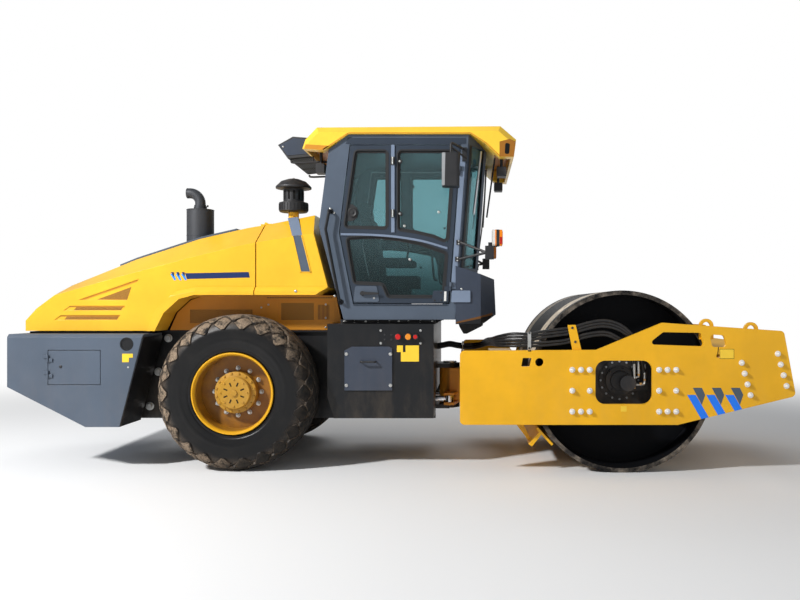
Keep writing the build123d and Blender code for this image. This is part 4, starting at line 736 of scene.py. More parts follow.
def add_lugs(face, profile):
    """Rows of diamond lugs that wrap over the shoulders, every other row moved on by half a pitch."""
    row_step = 2 * SHOULDER / (LUG_ROWS + 1)
    pitch = TURN / LUGS_AROUND
    for row in range(LUG_ROWS):
        odd = row % 2
        middle = row_step * (row + 1) - SHOULDER
        height = LUG_H * (0.62 if row in (0, LUG_ROWS - 1) else 1.0)
        outline = lug_outline(LUG_SKEW if odd else -LUG_SKEW)
        lug = []
        for level, size in ((-0.003, 0.9), (0.85 * height, 0.83), (height, 0.76)):
            lug.append([(*above(profile, middle + across * row_step * size, level), along * pitch * size)
                        for along, across in outline])
        lug.append([(*above(profile, middle, height), 0.0)])
        for angle in angles(LUGS_AROUND, odd / 2):
            rings = [[face.at(*on_circle(AXLE, r, angle + turn), out) for r, out, turn in ring]
                     for ring in lug]
            for corner in add_rings(face.bm, rings)[2]:
                for top in corner.link_faces:
                    top.material_index = 1


def tyres():
    """Carcass with its wall ribs, and the lugs."""
    outside = carcass()
    half = [*outside, (0.35, TREAD_HALF_W - 0.04), (0.35, 0.0)]
    section = half + [(r, -out) for r, out in reversed(half[1:-1])]
    for side, word in SIDES:
        face = Side(bmesh.new(), side, TREAD_Y)
        face.hoop(AXLE, section, 120)
        add_lugs(face, outside)
        materials = "tyre_rubber tread_soil"
        tread = finished(face.bm, f"tyre_tread_{word}", materials, f"wheel_{word}", 40)
        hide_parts(f"tyre_{word}")


def wheel_fittings():
    """Nuts on the disc, the hub cover's bolts and slots in painted shade, a lock ring and the valve."""
    def nuts(face):
        for angle in angles(12):
            at = on_circle(AXLE, 0.211, angle)
            face.bolt(*at, 0.03, 0.026, roll=angle)
            face.turned(*at, [(0, 0), (0.009, 0), (0.009, 0.038), (0, 0.04)], 10)
    on_each("wheel_nuts", "zinc_plated_steel", "wheel", 0.905, nuts)

    def hub_cover(face):
        for angle in angles(8):
            face.dome(*on_circle(AXLE, 0.118, angle), 0.009, 0.008)
        for angle in angles(16, 0.5):
            face.bolt(*on_circle(AXLE, 0.168, angle), 0.017, 0.011, lift=-0.044, roll=angle)
        # flat near-black strips: painted shade in the hub cover's slots
        for angle in angles(8, 0.5):
            inner, outer = (face.at(*on_circle(AXLE, r, angle), 0.0008) for r in (0.062, 0.098))
            across = (outer - inner).normalized().cross(face.out) * 0.006
            add_face(face.bm, [inner - across, outer - across, outer + across, inner + across], mat=1)
    on_each("hub_cover_bolts", "hub_enamel soot", "wheel", HUB_Y - 0.012, hub_cover)

    def lock_ring(face):
        section = ((0.347, -0.006), (0.357, -0.006), (0.3605, -0.002), (0.357, 0.002), (0.347, 0.001))
        face.hoop(AXLE, [(r, TREAD_HALF_W + out) for r, out in section], 96)
        stem = [(0, 0), (0.006, 0), (0.006, 0.04), (0.008, 0.04), (0.008, 0.055), (0, 0.055)]
        face.turned(*on_circle(AXLE, 0.315, 2.2), stem, 10, lift=0.93 - TREAD_Y)
    on_each("rim_lock_ring", "rim_enamel", "wheel", TREAD_Y, lock_ring)


# ================================================================ side plates
BOLT_COLUMNS = ((-0.449, -0.373, -0.298), (0.304, 0.377, 0.452))   # two groups, from the drum's axle
BOLT_ROWS = (-0.252, -0.071, 0.11)
SLANTED_ROWS = (((2.993, 0.971), (3.069, 0.69)), ((3.306, 1.049), (3.381, 0.77)))
STRIPE_X, STRIPE_TOP = 2.52, 0.692        # upper corner of the first stripe
STRIPE_PITCH, STRIPE_WIDTH = 0.165, 0.075
STRIPE_SLOPE = 0.585                       # forward for each metre down
EDGE_DROP, EDGE_RISE = 0.24, 0.244        # plate's lower edge: below that corner, and up per metre forward


def plate_bolts():
    """Bolts through each side plate into the drum's brackets and the front crossbeam."""
    places = []
    for columns in BOLT_COLUMNS:
        for dz in BOLT_ROWS:
            in_row = columns if dz != BOLT_ROWS[1] else columns[::2]
            places += [(DRUM.x + dx, DRUM.z + dz) for dx in in_row]
    for top, bottom in SLANTED_ROWS:
        places += [Vector(top).lerp(Vector(bottom), k / 3) for k in range(4)]
    stud = [(0, 0.025), (0.01, 0.025), (0.01, 0.035), (0.008, 0.037), (0, 0.037)]

    def bolts(face):
        for i, at in enumerate(places):
            face.bolt(*at, 0.036, 0.026, roll=i * 0.7)
            face.turned(*at, stud, 12)
    on_both("plate_bolts", "bright_zinc", "front_frame", PLATE_Y, bolts)


def plate_stripes():
    """Three slanted blue stripes that end on the plate's lower edge, with slate tips behind them."""
    def lower_end(x):
        """Where a stripe's edge that starts at x meets the slanted lower edge."""
        drop = (EDGE_DROP - EDGE_RISE * (x - STRIPE_X)) / (1 + EDGE_RISE * STRIPE_SLOPE)
        return x + STRIPE_SLOPE * drop, STRIPE_TOP - drop

    def stripes(face):
        for k in range(3):
            x = STRIPE_X + STRIPE_PITCH * k
            end = x + STRIPE_WIDTH
            face.plate([(x, STRIPE_TOP), lower_end(x), lower_end(end), (end, STRIPE_TOP)], 0.0012)
            tip = ((0.049, 0.062), (0.128, 0.062), (0.157, 0), (0.128, -0.086))
            face.plate([(x + dx, STRIPE_TOP + dz) for dx, dz in tip], 0.0008, mat=1)
    on_both("plate_stripes", "blue_film slate_film", "front_frame", PLATE_Y, stripes)


def plate_signs():
    """Blank signs beside the hand hole and under the drive window, and the hand hole's lip in painted shade.
    """
    def signs(face):
        sign = rect(2.806, 2.925, 1.008, 1.087)
        face.plate(inset(sign, -0.003), 0.0006, mat=1)
        face.plate(sign, 0.001)
        face.plate(rect(1.944, 1.997, 0.546, 0.596), 0.0008)
        # thin near-black strip: painted shade at the hand hole's lip
        face.plate([(2.782, 1.044), (2.79, 1.044), (2.796, 1.107), (2.789, 1.107)], 0.0006, mat=1)
    on_both("plate_signs", "yellow_sign soot", "front_frame", PLATE_Y, signs)


# ================================================================ hood, cowl and tail
HOOD_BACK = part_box("hood")[0].x
HOOD_TOP = ((-3.425, 1.37), (-3.325, 1.512), (-3.165, 1.66), (-2.555, 1.905), (-1.946, 2.103),
            (-1.49, 2.208))
GRILLE_ENDS = (-3.405, -3.185)
VENTS = (                  # mesh outline, then the shaded strip under the recess's upper edge
    (((-2.775, 1.522), (-2.5, 1.52), (-2.461, 1.637)),
     ((-2.93, 1.521), (-2.88, 1.521), (-2.412, 1.684), (-2.398, 1.704))),
    (((-2.99, 1.425), (-2.556, 1.425), (-2.535, 1.452), (-2.962, 1.452)),
     ((-3.035, 1.452), (-2.528, 1.452), (-2.52, 1.463), (-3.024, 1.463))),
    (((-3.073, 1.339), (-2.591, 1.339), (-2.574, 1.367), (-3.05, 1.367)),
     ((-3.12, 1.366), (-2.57, 1.368), (-2.563, 1.379), (-3.11, 1.377))),
)
STRIPE_END = ((-1.951, 1.709), (-1.375, 1.723), (-1.386, 1.774), (-1.967, 1.762))
PANEL_MESHES = ((-2.01, -1.42, 1.3, 1.43), (-1.15, -0.84, 1.33, 1.49))
PANEL_BORDERS = ((-1.292, -1.17, 1.24, 1.52), (-0.82, -0.64, 1.24, 1.505),
                 (-1.17, -0.82, 1.24, 1.315), (-1.17, -0.82, 1.5, 1.52))
PANEL_SCREWS = ((-2.207, 1.376), (-2.207, 1.284), (-1.335, 1.449), (-1.268, 1.476), (-1.268, 1.262),
                (-0.727, 1.478), (-0.727, 1.351), (-0.727, 1.262))


def on_hood(bm, ends, y0, y1, low, high):
    """Strip that follows the hood's top line between two places along X, from low to high above it."""
    def level(x):
        for (xa, za), (xb, zb) in zip(HOOD_TOP, HOOD_TOP[1:]):
            if xa <= x <= xb:
                return za + (zb - za) * (x - xa) / (xb - xa)

    start, end = ends
    stations = [start, *[x for x, _ in HOOD_TOP if start < x < end], end]
    outline = [(x, level(x) + low) for x in stations] + [(x, level(x) + high) for x in reversed(stations)]
    add_prism(bm, outline, y0, y1, in_side)


def hood_vents():
    """Wire mesh in the hood's side recesses, with the darker strip under their upper edges."""
    def vents(face):
        for mesh, strip in VENTS:
            face.plate(mesh, 0.0015)
            face.plate(strip, 0.001, mat=1)
    on_both("hood_vent_mesh", "orange_mesh shaded_enamel", "hood", HOOD_Y - 0.006, vents)


def hood_trim():
    """Slate panel along the hood's top, the rear grille, blank stripes and the lid's handles."""
    bm = bmesh.new()
    on_hood(bm, (-2.73, -1.61), -0.4, 0.4, 0.001, 0.028)
    finished(bm, "hood_top_panel", "slate_enamel", "hood")

    bm = bmesh.new()
    on_hood(bm, GRILLE_ENDS, -0.34, 0.34, 0.001, 0.006)
    finished(bm, "rear_grille", "black_mesh", "hood")

    bm = bmesh.new()
    for ends in ((-3.412, -3.398), (-3.192, -3.178)):
        on_hood(bm, ends, -0.36, 0.36, 0.001, 0.014)
    for y in (-0.35, 0.35):
        on_hood(bm, GRILLE_ENDS, y - 0.011, y + 0.011, 0.001, 0.014)
    for z in (1.262, 1.3):
        add_box(bm, (HOOD_BACK - 0.0035, -0.42, z), (HOOD_BACK + 0.0005, 0.42, z + 0.014))
    finished(bm, "rear_grille_frame", "black_enamel", "hood")

    def stripes(face):
        face.plate(STRIPE_END, 0.0008)
        tip = ((0.006, 1.772), (0.03, 1.774), (0.037, 1.757), (0.031, 1.729))
        tail = ((0.0, 1.757), (0.031, 1.757), (0.054, 1.7), (0.036, 1.698))
        for k in range(3):
            x = -2.103 + 0.049 * k
            face.plate([(x + dx, z) for dx, z in tip], 0.001)
            face.plate([(x + dx, z) for dx, z in tail], 0.0008, mat=1)
    on_both("hood_stripes", "navy_film sky_blue_film", "hood", HOOD_Y, stripes)

    bm = bmesh.new()
    for y in (-0.3, 0.3):
        for reach, low, high in ((0.012, 1.326, 1.34), (0.006, 1.34, 1.352)):
            add_box(bm, (HOOD_BACK - reach, y - 0.055, low), (HOOD_BACK + 0.001, y + 0.055, high))
    finished(bm, "hood_handles", "black_plastic", "hood")


def cowl_stripe():
    """Slate strip set in a pressed edge, down each side of the cowl and over its shoulder, with its top
    lighter than its side as painted light.
    """
    rear_top, front_top = (-0.989, 2.102), (-0.897, 2.108)
    rear_foot, front_foot = (-0.913, 1.767), (-0.812, 1.768)
    shoulder = ((-1.106, 0.452, 2.3), (-1.008, 0.452, 2.312), (front_top[0], HOOD_Y, front_top[1]),
                (rear_top[0], HOOD_Y, rear_top[1]))

    def stripe(face):
        # side face in darker slate and shoulder in light slate: lit and shaded copies of one stripe, painted
        # light and shade
        face.plate([rear_top, front_top, front_foot, rear_foot], 0.0012, mat=3)
        add_face(face.bm, [(x, face.side * (y + 0.001), z + 0.002) for x, y, z in shoulder])
        face.strips([rear_top, rear_foot, front_foot, front_top], 0.01, 0.004, mat=1)
        face.dome(-0.943, 1.598, 0.013, 0.009, mat=2, lift=outer_y("cowl") - HOOD_Y)
    materials = "light_slate_enamel yellow_enamel zinc_plated_steel slate_enamel"
    on_both("cowl_stripe", materials, "root", HOOD_Y, stripe)


def panel_grilles():
    """Mesh, borders and screws of the inner side panels."""
    def grilles(face):
        for mesh in PANEL_MESHES:
            face.plate(rect(*mesh), 0.0015, mat=1, lift=-0.006)
        for border in PANEL_BORDERS:
            face.plate(rect(*border), 0.003)
        for k in range(9):
            x = -0.8 + 0.0125 * k
            face.plate(rect(x, x + 0.005, 1.335, 1.475), 0.0005, mat=3, lift=0.003)
        for k in range(26):
            x = -1.28 + 0.024 * k
            face.plate(rect(x, x + 0.014, 1.536, 1.547), 0.0008, mat=3)
        for x, z in PANEL_SCREWS:
            face.dome(x, z, 0.01, 0.007, mat=2, lift=0.003)
    materials = "shaded_enamel orange_mesh zinc_plated_steel black_enamel"
    on_both("side_panel_trim", materials, "root", PANEL_Y, grilles)


def tail_trim():
    """Latches, sockets, blank signs, lamps and dark front faces of the rear weight."""
    def fittings(face):
        latch = [(0, 0), (0.013, 0), (0.013, 0.004), (0.009, 0.006), (0, 0.006)]
        face.turned(-2.99, 0.925, latch, 20, lift=-0.001)
        for z in (0.875, 1.015):
            face.bolt(-3.108, z, 0.012, 0.006, mat=1, lift=0.001)
        socket = [(0.046, -0.055), (0.046, 0.001), (0.06, 0.001), (0.06, -0.003), (0.0, -0.003)]
        face.turned(-2.406, 1.125, socket, 32, mat=2)
        face.plate([(-2.445, 1.04), (-2.35, 1.04), (-2.35, 1.005), (-2.385, 1.005), (-2.385, 0.965),
                    (-2.445, 0.965)], 0.0008, mat=3)
        face.turned(-2.392, 0.92, disc(0.008, 0.003), 12, mat=1)
    materials = "black_plastic zinc_plated_steel black_enamel yellow_sign"
    on_both("tail_fittings", materials, "root", WEIGHT_Y, fittings)

    def lamps(face):
        y0, y1 = face.span(0.5, 0.68)
        middle = (y0 + y1) / 2
        add_prism(face.bm, rounded(rect(y0, y1, 1.256, 1.33), 0.012), HOOD_BACK - 0.01, HOOD_BACK, in_front)
        for mat, low, high in ((1, y0 + 0.008, middle - 0.004), (2, middle + 0.004, y1 - 0.008)):
            lens = rounded(rect(low, high, 1.264, 1.322), 0.008)
            add_prism(face.bm, lens, HOOD_BACK - 0.014, HOOD_BACK - 0.009, in_front, mat)
    on_both("tail_lamps", "black_plastic red_lens amber_lens", "hood", HOOD_Y, lamps)

    def front(face):
        face.plate([(-2.471, 0.392), (-2.464, 0.392), (-2.256, 1.186), (-2.27, 1.186)], 0.436)
    on_both("weight_front_faces", "black_enamel", "root", 0.562, front)


def hood_seal():
    """Black strip on the weight that the hood's lower edge closes over."""
    bm = bmesh.new()
    back, front, y, wide, low, high = -3.4, -2.3, 0.755, 0.02, 1.2135, 1.2305
    for inner in (-y, y - wide):
        add_box(bm, (back, inner, low), (front, inner + wide, high))
    add_box(bm, (back, -y, low), (back + wide, y, high))
    finished(bm, "hood_seal", "rubber", "root")


def tail_bolts():
    """Large bolts that hold the weight to the rails."""
    def bolts(face):
        for x, z in ((-2.227, 1.158), (-2.323, 0.84), (-2.402, 0.513)):
            face.bolt(x, z, 0.055, 0.03, roll=0.3)
    on_both("tail_bolts", "zinc_plated_steel", "root", outer_y("rear_frame"), bolts)


# ================================================================ tanks and steps
KNOBS = ((-0.012, 0.026, 1), (0.079, 0.028, 2), (0.145, 0.02, 1))   # X, radius and material
TANK_SIGN = ((0.011, 0.96), (0.175, 0.96), (0.175, 1.106), (0.053, 1.106), (0.053, 1.046), (0.03, 1.046),
             (0.03, 1.106), (-0.025, 1.106), (-0.025, 1.046), (0.011, 1.046))


def tank_trim():
    """Knobs, screws and a blank sign on the right tank, and two bolts on the rail behind it."""
    face = Side(bmesh.new(), RIGHT, TANK_Y)
    for x, r, mat in KNOBS:
        face.turned(x, 1.185, disc(r * 1.25, 0.012), 28)
        neck = r * 0.7
        grip = [(0, 0.012), (neck, 0.012), (neck, 0.026), (r, 0.03), (r, 0.042), (r * 0.85, 0.048),
                (0, 0.049)]
        face.turned(x, 1.185, grip, 28, mat)
    finished(face.bm, "tank_knobs", "black_plastic red_plastic amber_plastic", "root")

    face = Side(bmesh.new(), RIGHT, TANK_Y)
    for x in (-0.171, 0.189):
        for z in (1.241, 1.126):
            face.bolt(x, z, 0.016, 0.009)
    for x in (-0.136, -0.076):
        for z in (1.203, 1.159):
            face.turned(x, z, disc(0.009, 0.002), 16, mat=1)
    for x, z in ((-0.69, 1.15), (-0.64, 0.928)):
        face.bolt(x, z, 0.02, 0.012, lift=outer_y("rear_frame") - TANK_Y)
    for x in (-0.48, -0.082):
        for z in (1.029, 0.746):
            face.bolt(x, z, 0.022, 0.01, lift=0.016)
    finished(face.bm, "tank_screws", "zinc_plated_steel black_plastic", "root")

    face = Side(bmesh.new(), RIGHT, TANK_Y)
    face.plate(TANK_SIGN, 0.0008)
    finished(face.bm, "tank_sign", "yellow_sign", "root")


def step_treads():
    """Raised bars on the left steps, and the left tank's bolts and filler cap."""
    bm = bmesh.new()
    for z in (0.572, 0.892):
        for k in range(9):
            x = -0.455 + 0.038 * k
            add_box(bm, (x, 0.862, z), (x + 0.014, 0.932, z + 0.004))
    finished(bm, "step_bars", "dark_steel", "root")

    face = Side(bmesh.new(), LEFT, TANK_Y)
    for x in (-0.35, 0.1):
        for z in (0.52, 1.22):
            face.bolt(x, z, 0.022, 0.01)
    face.turned(0.2, 1.12, [(0, 0), (0.055, 0), (0.055, 0.02), (0.048, 0.03), (0, 0.03)], 32, mat=1)
    finished(face.bm, "left_tank_fittings", "zinc_plated_steel black_plastic", "root")


# ================================================================ cab
CAB_X, CAB_FOOT, LEAN = 0.5, 1.338, 0.0735   # front corner: its foot's X and Z, and forward per metre up
ROOF_Y = outer_y("cab_roof") - 0.0005
PANES = (                  # X-Z outlines of a door's three panes
    ((-0.412, 2.883), (-0.118, 2.883), (-0.118, 2.172), (-0.512, 2.182)),
    ((-0.022, 2.883), (0.493, 2.883), (0.432, 2.04), (0.3, 2.098), (0.14, 2.136), (-0.022, 2.16)),
    ((-0.494, 2.088), (-0.25, 2.1), (-0.04, 2.08), (0.17, 2.04), (0.427, 1.95), (0.397, 1.545),
     (-0.115, 1.545), (-0.165, 1.66), (-0.424, 1.672)),
)
DOOR_RAIL = ((-0.545, 2.128), (-0.3, 2.124), (-0.064, 2.108), (0.2, 2.066), (0.43, 2.0))
GLASS_CORNER = ((-0.505, 2.24), (-0.44, 2.24), (-0.4, 2.27), (-0.385, 2.318), (-0.4, 2.365),
                (-0.44, 2.395), (-0.482, 2.395))
HINGE_COVER_Z = (1.497, 1.604)
ROOF_DRIP = ((-0.7, 2.884), (-0.623, 2.931), (-0.47, 3.034), (0.64, 3.034), (0.778, 2.946),
             (0.905, 2.826))


def corner_x(z):
    """X of the cab's leaning front corner at a height."""
    return CAB_X + LEAN * (z - CAB_FOOT)


def along_corner(z0, z1, near, far):
    """Outline of an upright strip between two distances from the cab's front corner."""
    return [(corner_x(z) + dx, z) for z, dx in ((z0, near), (z0, far), (z1, far), (z1, near))]


def door_seals(face):
    for pane in PANES:
        edge = rounded(pane, 0.035, 4)
        face.border(edge, inset(edge, 0.02), 0.004, lift=GLASS)
        face.border(inset(edge, -0.012), inset(edge, 0.001), 0.003)


def door_rails(face):
    # light slate bar and rail: painted highlight along their rounded faces
    face.plate(rect(-0.083, -0.052, 2.135, 2.935), 0.01)
    rail = smooth_path(DOOR_RAIL, 5)
    for a, b in zip(rail, rail[1:]):
        face.plate([(a.x, a.y - 0.02), (b.x, b.y - 0.02), b, a], 0.009)


def door_hinge(face, z):
    """Hinge on the middle post, with its leaf and round clamp on the glass."""
    face.plate(rounded(rect(-0.088, -0.05, z - 0.036, z + 0.036), 0.006), 0.008, mat=1, lift=0.01)
    pin_y = DOOR_Y + 0.024
    face.tube([(-0.068, pin_y, z - 0.034), (-0.068, pin_y, z + 0.034)], 0.008)
    face.plate(rect(-0.052, -0.006, z - 0.018, z + 0.018), 0.012, mat=1, lift=GLASS + 0.001)
    face.turned(-0.006, z, disc(0.023, 0.012), 24, mat=1, lift=GLASS + 0.001)
    face.dome(-0.006, z, 0.01, 0.006, lift=GLASS + 0.013)


def door_handle(face):
    """Plate with the lever's boss, the lever and the lock."""
    plate = [(-0.43, 1.5), (-0.19, 1.5), (-0.215, 1.645), (-0.412, 1.645)]
    face.plate(rounded(plate, 0.02, 3), 0.006, mat=2)
    face.turned(-0.345, 1.578, disc(0.022, 0.018), 20, mat=1, lift=0.006)
    lever = [(-0.358, 1.564), (-0.196, 1.568), (-0.192, 1.586), (-0.358, 1.594)]
    face.plate(rounded(lever, 0.006, 3), 0.012, mat=1, lift=0.024)
    face.turned(-0.24, 1.535, disc(0.01, 0.003), 16, lift=0.006)


def door_fittings(face):
    for z in (2.787, 2.307):
        door_hinge(face, z)
    for x, z in ((0.35, 2.324), (0.036, 2.196), (0.086, 1.89)):
        face.dome(x, z, 0.014, 0.01, lift=GLASS)
    face.plate(GLASS_CORNER, 0.005, mat=1, lift=GLASS)
    knob = [(0, 0), (0.044, 0), (0.044, 0.01), (0.036, 0.016), (0.03, 0.012), (0.012, 0.012),
            (0.012, 0.018), (0, 0.018)]
    face.turned(-0.44, 2.318, knob, 28, mat=1, lift=GLASS + 0.005)
    door_handle(face)
    low, high = HINGE_COVER_Z
    face.plate(rounded([(0.286, low), (0.438, low), (0.441, high), (0.3, high)], 0.008, 2), 0.014, mat=3)
    for x, z in ((0.312, 1.515), (0.372, 1.515), (0.372, 1.585)):
        face.bolt(x, z, 0.012, 0.006, mat=1, lift=0.014)
    face.plate([(0.398, 1.508), (0.42, 1.508), (0.422, 1.596), (0.402, 1.596)], 0.002, mat=4, lift=0.014)


def door_pulls(face):
    y = DOOR_Y - 0.062
    grip = [(0.33, y, 1.7), (0.3, y - 0.05, 1.74), (0.28, y - 0.05, 2.02), (0.31, y, 2.06)]
    face.tube(grip, 0.011, 10, smooth=5)


def door_trim():
    """Seals, bars and rails in light slate as painted highlight, fittings and inner pulls of both doors."""
    on_each("door_seals", "rubber", "door", DOOR_Y, door_seals)
    on_each("door_rails", "light_slate_enamel", "door", DOOR_Y, door_rails)
    materials = "zinc_plated_steel black_plastic slate_enamel dark_slate_enamel white_plastic"
    on_each("door_fittings", materials, "door", DOOR_Y, door_fittings)
    on_each("door_inner_pulls", "black_plastic", "door", DOOR_Y, door_pulls)


def cab_trim():
    """Light pillars, hinge covers, dark strips, bolts and the strut beside the quarter glass."""
    def pillars(face):
        face.plate(along_corner(1.62, 2.86, -0.058, -0.012), 0.004)
        low, high = HINGE_COVER_Z
        cover = rounded([(0.465, low), (0.64, low), (0.64, high), (0.472, high)], 0.008, 2)
        face.plate(cover, 0.014, lift=0.018)
    on_both("pillar_covers", "light_slate_enamel", "root", DOOR_Y, pillars)

    def strips(face):
        face.plate([(-0.5, 2.944), (0.6, 2.944), (0.6, 3.0), (-0.48, 3.0)], 0.003)
        face.plate(rect(-0.43, 0.43, 1.47, 1.478), 0.008)
        face.plate(along_corner(1.6, 2.9, -0.004, 0.004), 0.004)
    on_both("cab_header_strips", "dark_slate_enamel", "root", DOOR_Y, strips)

    def bolts(face):
        face.dome(0.56, 1.618, 0.011, 0.008, lift=0.016)
        for x, z in ((0.52, 1.452), (-0.6, 1.555), (-0.56, 1.515), (-0.64, 2.352), (-0.605, 2.315)):
            face.dome(x, z, 0.011, 0.008)
        for x, z in ((-0.545, 1.5), (-0.64, 2.33)):
            face.turned(x, z, disc(0.026, 0.006), 20, mat=1)
        top, foot = Vector((0.739, 0.655, 2.9)), Vector((0.67, 0.7, 2.31))
        face.tube([top, foot], 0.011)
        face.tube([top.lerp(foot, 0.45), foot], 0.0135, mat=2)
    on_both("cab_bolts", "zinc_plated_steel black_enamel hard_chrome", "root", DOOR_Y, bolts)


def glass_seals():
    """Black bands down the front and quarter panes, and the wipers."""
    bm = bmesh.new()
    low, high = 1.815, 2.935
    for side, _ in SIDES:
        for (dx0, y0), (dx1, y1) in (((0.022, 0.764), (0.04, 0.726)), ((0.14, 0.524), (0.151, 0.501))):
            corners = ((low, dx0, y0), (low, dx1, y1), (high, dx1, y1), (high, dx0, y0))
            add_face(bm, [(corner_x(z) + dx, side * y, z) for z, dx, y in corners])
    for side, _ in SIDES:
        pivot = Vector((0.7, 0.3 * side, 1.855))
        top = Vector((0.78, 0.04 * side, 2.56))
        add_tube(bm, [pivot, pivot.lerp(top, 0.5) + Vector((0.01, 0, 0)), top], 0.006, 8)
        add_turned(bm, [(0, -0.02), (0.018, -0.02), (0.018, 0.02), (0, 0.022)], pivot, (1, 0, 0.1), 16)
        blade = ((-0.016, -0.02, -0.3), (0.002, 0, 0), (0.016, 0.02, 0.28))
        add_tube(bm, [top + Vector(offset) for offset in blade], 0.008, 8)
    add_tube(bm, [(0.874, -0.4, 2.885), (0.835, -0.42, 2.6), (0.795, -0.44, 2.31)], 0.008, 8)
    finished(bm, "wipers_and_seals", "black_plastic", "root")


def roof_trim():
    """Pocket linings, drip edge, shaded ends and lamp recesses of the roof, all in painted shade."""
    bm = bmesh.new()
    for x0, x1 in ((-0.868, -0.562), (0.862, 1.008)):
        add_box(bm, (x0, -0.698, 2.9585), (x1, 0.698, 2.9595))
    end = [(0.905, 2.822), (1.036, 2.822), (1.052, 2.96), (1.0, 2.985), (0.905, 2.96)]
    lamp = [(0.952, 2.85), (0.992, 2.846), (1.0, 2.94), (0.958, 2.95)]
    rear = [(-0.874, 2.897), (-0.7, 2.882), (-0.64, 2.92), (-0.86, 2.935)]
    for side, _ in SIDES:
        face = Side(bm, side, ROOF_Y)
        face.strips(ROOF_DRIP, 0.01, 0.0008)
        face.plate(end, 0.0008, mat=1)
        # near-black plate: painted shade in the lamp recess
        face.plate(rounded(lamp, 0.014, 3), 0.0012, mat=2, lift=0.0003)
        face.plate(rear, 0.0008)
    finished(bm, "roof_shade", "shaded_enamel pocket_shade soot", "root")


def air_conditioner_trim():
    """Slate side panels in darker slate as painted shade, louvres underneath, and the tubes that carry the
    unit.
    """
    def cheeks(face):
        panel = [(-1.185, 2.998), (-1.11, 2.9), (-0.88, 2.92), (-0.85, 3.05), (-1.05, 3.066)]
        face.plate(rounded(panel, 0.014), 0.004)
        for x, z in ((-1.15, 2.985), (-0.89, 3.035)):
            face.dome(x, z, 0.009, 0.006, mat=1, lift=0.004)
    materials = "low_slate_enamel zinc_plated_steel"
    on_both("air_conditioner_sides", materials, "root", outer_y("air_conditioner"), cheeks)

    bm = bmesh.new()
    for k in range(12):
        x = -1.095 + 0.019 * k
        z = 2.872 + (x + 1.106) * 0.106        # along the unit's sloping underside
        add_box(bm, (x, -0.4, z - 0.008), (x + 0.006, 0.4, z + 0.002))
    for y in (-0.41, -0.14, 0.14, 0.41):
        add_tube(bm, [(-1.096, y, 2.868), (-0.87, y, 2.892)], 0.006, 8)
    finished(bm, "air_conditioner_louvres", "dark_steel", "root")

    def stays(face):
        y = face.y
        run = [(-1.08, y, 2.858), (-1.06, y, 2.838), (-0.9, y, 2.842), (-0.64, y, 2.848)]
        face.tube(run, 0.01, smooth=4)
        face.tube([(-0.87, y, 2.842), (-0.87, y, 2.9)], 0.008, 10)
    on_both("air_conditioner_stays", "black_plastic", "root", 0.42, stays)


# the brown edge faces are painted reflection
NOSE_FACES = (             # material, then corners of the straight and the slanted part: edge and dark skirt
    (0, ((0.512, 0.801, 1.318), (0.735, 0.7975, 1.372), (0.735, 0.7975, 1.35), (0.512, 0.801, 1.304))),
    (1, ((0.512, 0.801, 1.304), (0.735, 0.7975, 1.35), (0.735, 0.7975, 1.304), (0.512, 0.801, 1.3))),
    (0, ((0.737, 0.797, 1.372), (0.846, 0.6145, 1.4), (0.846, 0.6145, 1.378), (0.737, 0.797, 1.358))),
    (1, ((0.737, 0.797, 1.358), (0.846, 0.6145, 1.378), (0.846, 0.6145, 1.362), (0.763, 0.7515, 1.306),
         (0.737, 0.797, 1.304))),
)


def nose_trim():
    """Brown painted reflection on the lower edge of the cab's nose, the black box under it and the wiring
    under the cab's sill, on a black plate of painted shade.
    """
    def lower_edge(face):
        for mat, corners in NOSE_FACES:
            add_face(face.bm, [(x, face.side * y, z) for x, y, z in corners], mat)
    on_both("nose_lower_edge", "brown_edge black_enamel", "root", DOOR_Y, lower_edge)

    bm = bmesh.new()
    wedge = [(0.52, 1.2965), (0.77, 1.2965), (0.755, 1.268), (0.605, 1.192), (0.57, 1.192), (0.53, 1.262)]
    add_prism(bm, rounded(wedge, 0.01, 3), -0.27, 0.27, in_side)
    finished(bm, "nose_underside", "black_enamel", "root")

    def wiring(face):
        # black plate that closes the gap under the sill: painted shade
        face.plate(rect(-0.56, 0.32, 1.3005, 1.3375), 0.033, lift=-0.033)
        for k in range(9):
            x = -0.52 + 0.1 * k + 0.012 * math.sin(5.0 * k)
            face.bolt(x, 1.32, 0.016, 0.012, mat=1, roll=0.7 * k)
        loom = [(-0.54 + 0.11 * k, face.y + 0.011, 1.316 + 0.008 * math.sin(2.3 * k)) for k in range(9)]
        face.tube(loom, 0.007, 8, smooth=5)
    on_both("sill_wiring", "black_plastic zinc_plated_steel", "root", 0.705, wiring)


def lamp_lenses():
    """Glass faces and rims of the roof lamps, and the fins behind them."""
    low_x, high_x = (corner.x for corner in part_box("roof_lamps"))

    def lamps(face):
        y0, y1 = face.span(face.y - 0.124, face.y)
        for front, way, low in ((high_x, 1, 2.69), (low_x, -1, 2.72)):
            rim = rounded(rect(y0, y1, low, low + 0.09), 0.012)
            add_prism(face.bm, rim, front, front + way * 0.003, in_front)
            add_prism(face.bm, inset(rim, 0.009), front, front + way * 0.0045, in_front, mat=1)
            fin = rect(y0 + 0.01, y1 - 0.01, low + 0.014, low + 0.02)
            for k in range(5):
                raised = [(y, z + 0.015 * k) for y, z in fin]
                add_prism(face.bm, raised, front - way * 0.08, front - way * 0.086, in_front)
    on_both("roof_lamp_faces", "black_plastic lamp_glass", "root", outer_y("roof_lamps"), lamps)


SIGNAL_BANDS = (           # X of both ends, growth and material
    (0.834, 0.86, 0.0022, 2), (0.86, 0.871, 0.003, 3), (0.871, 0.898, 0.0036, 0),
    (0.898, 0.9235, 0.0022, 3), (0.9235, 0.9275, -0.012, 3),
)


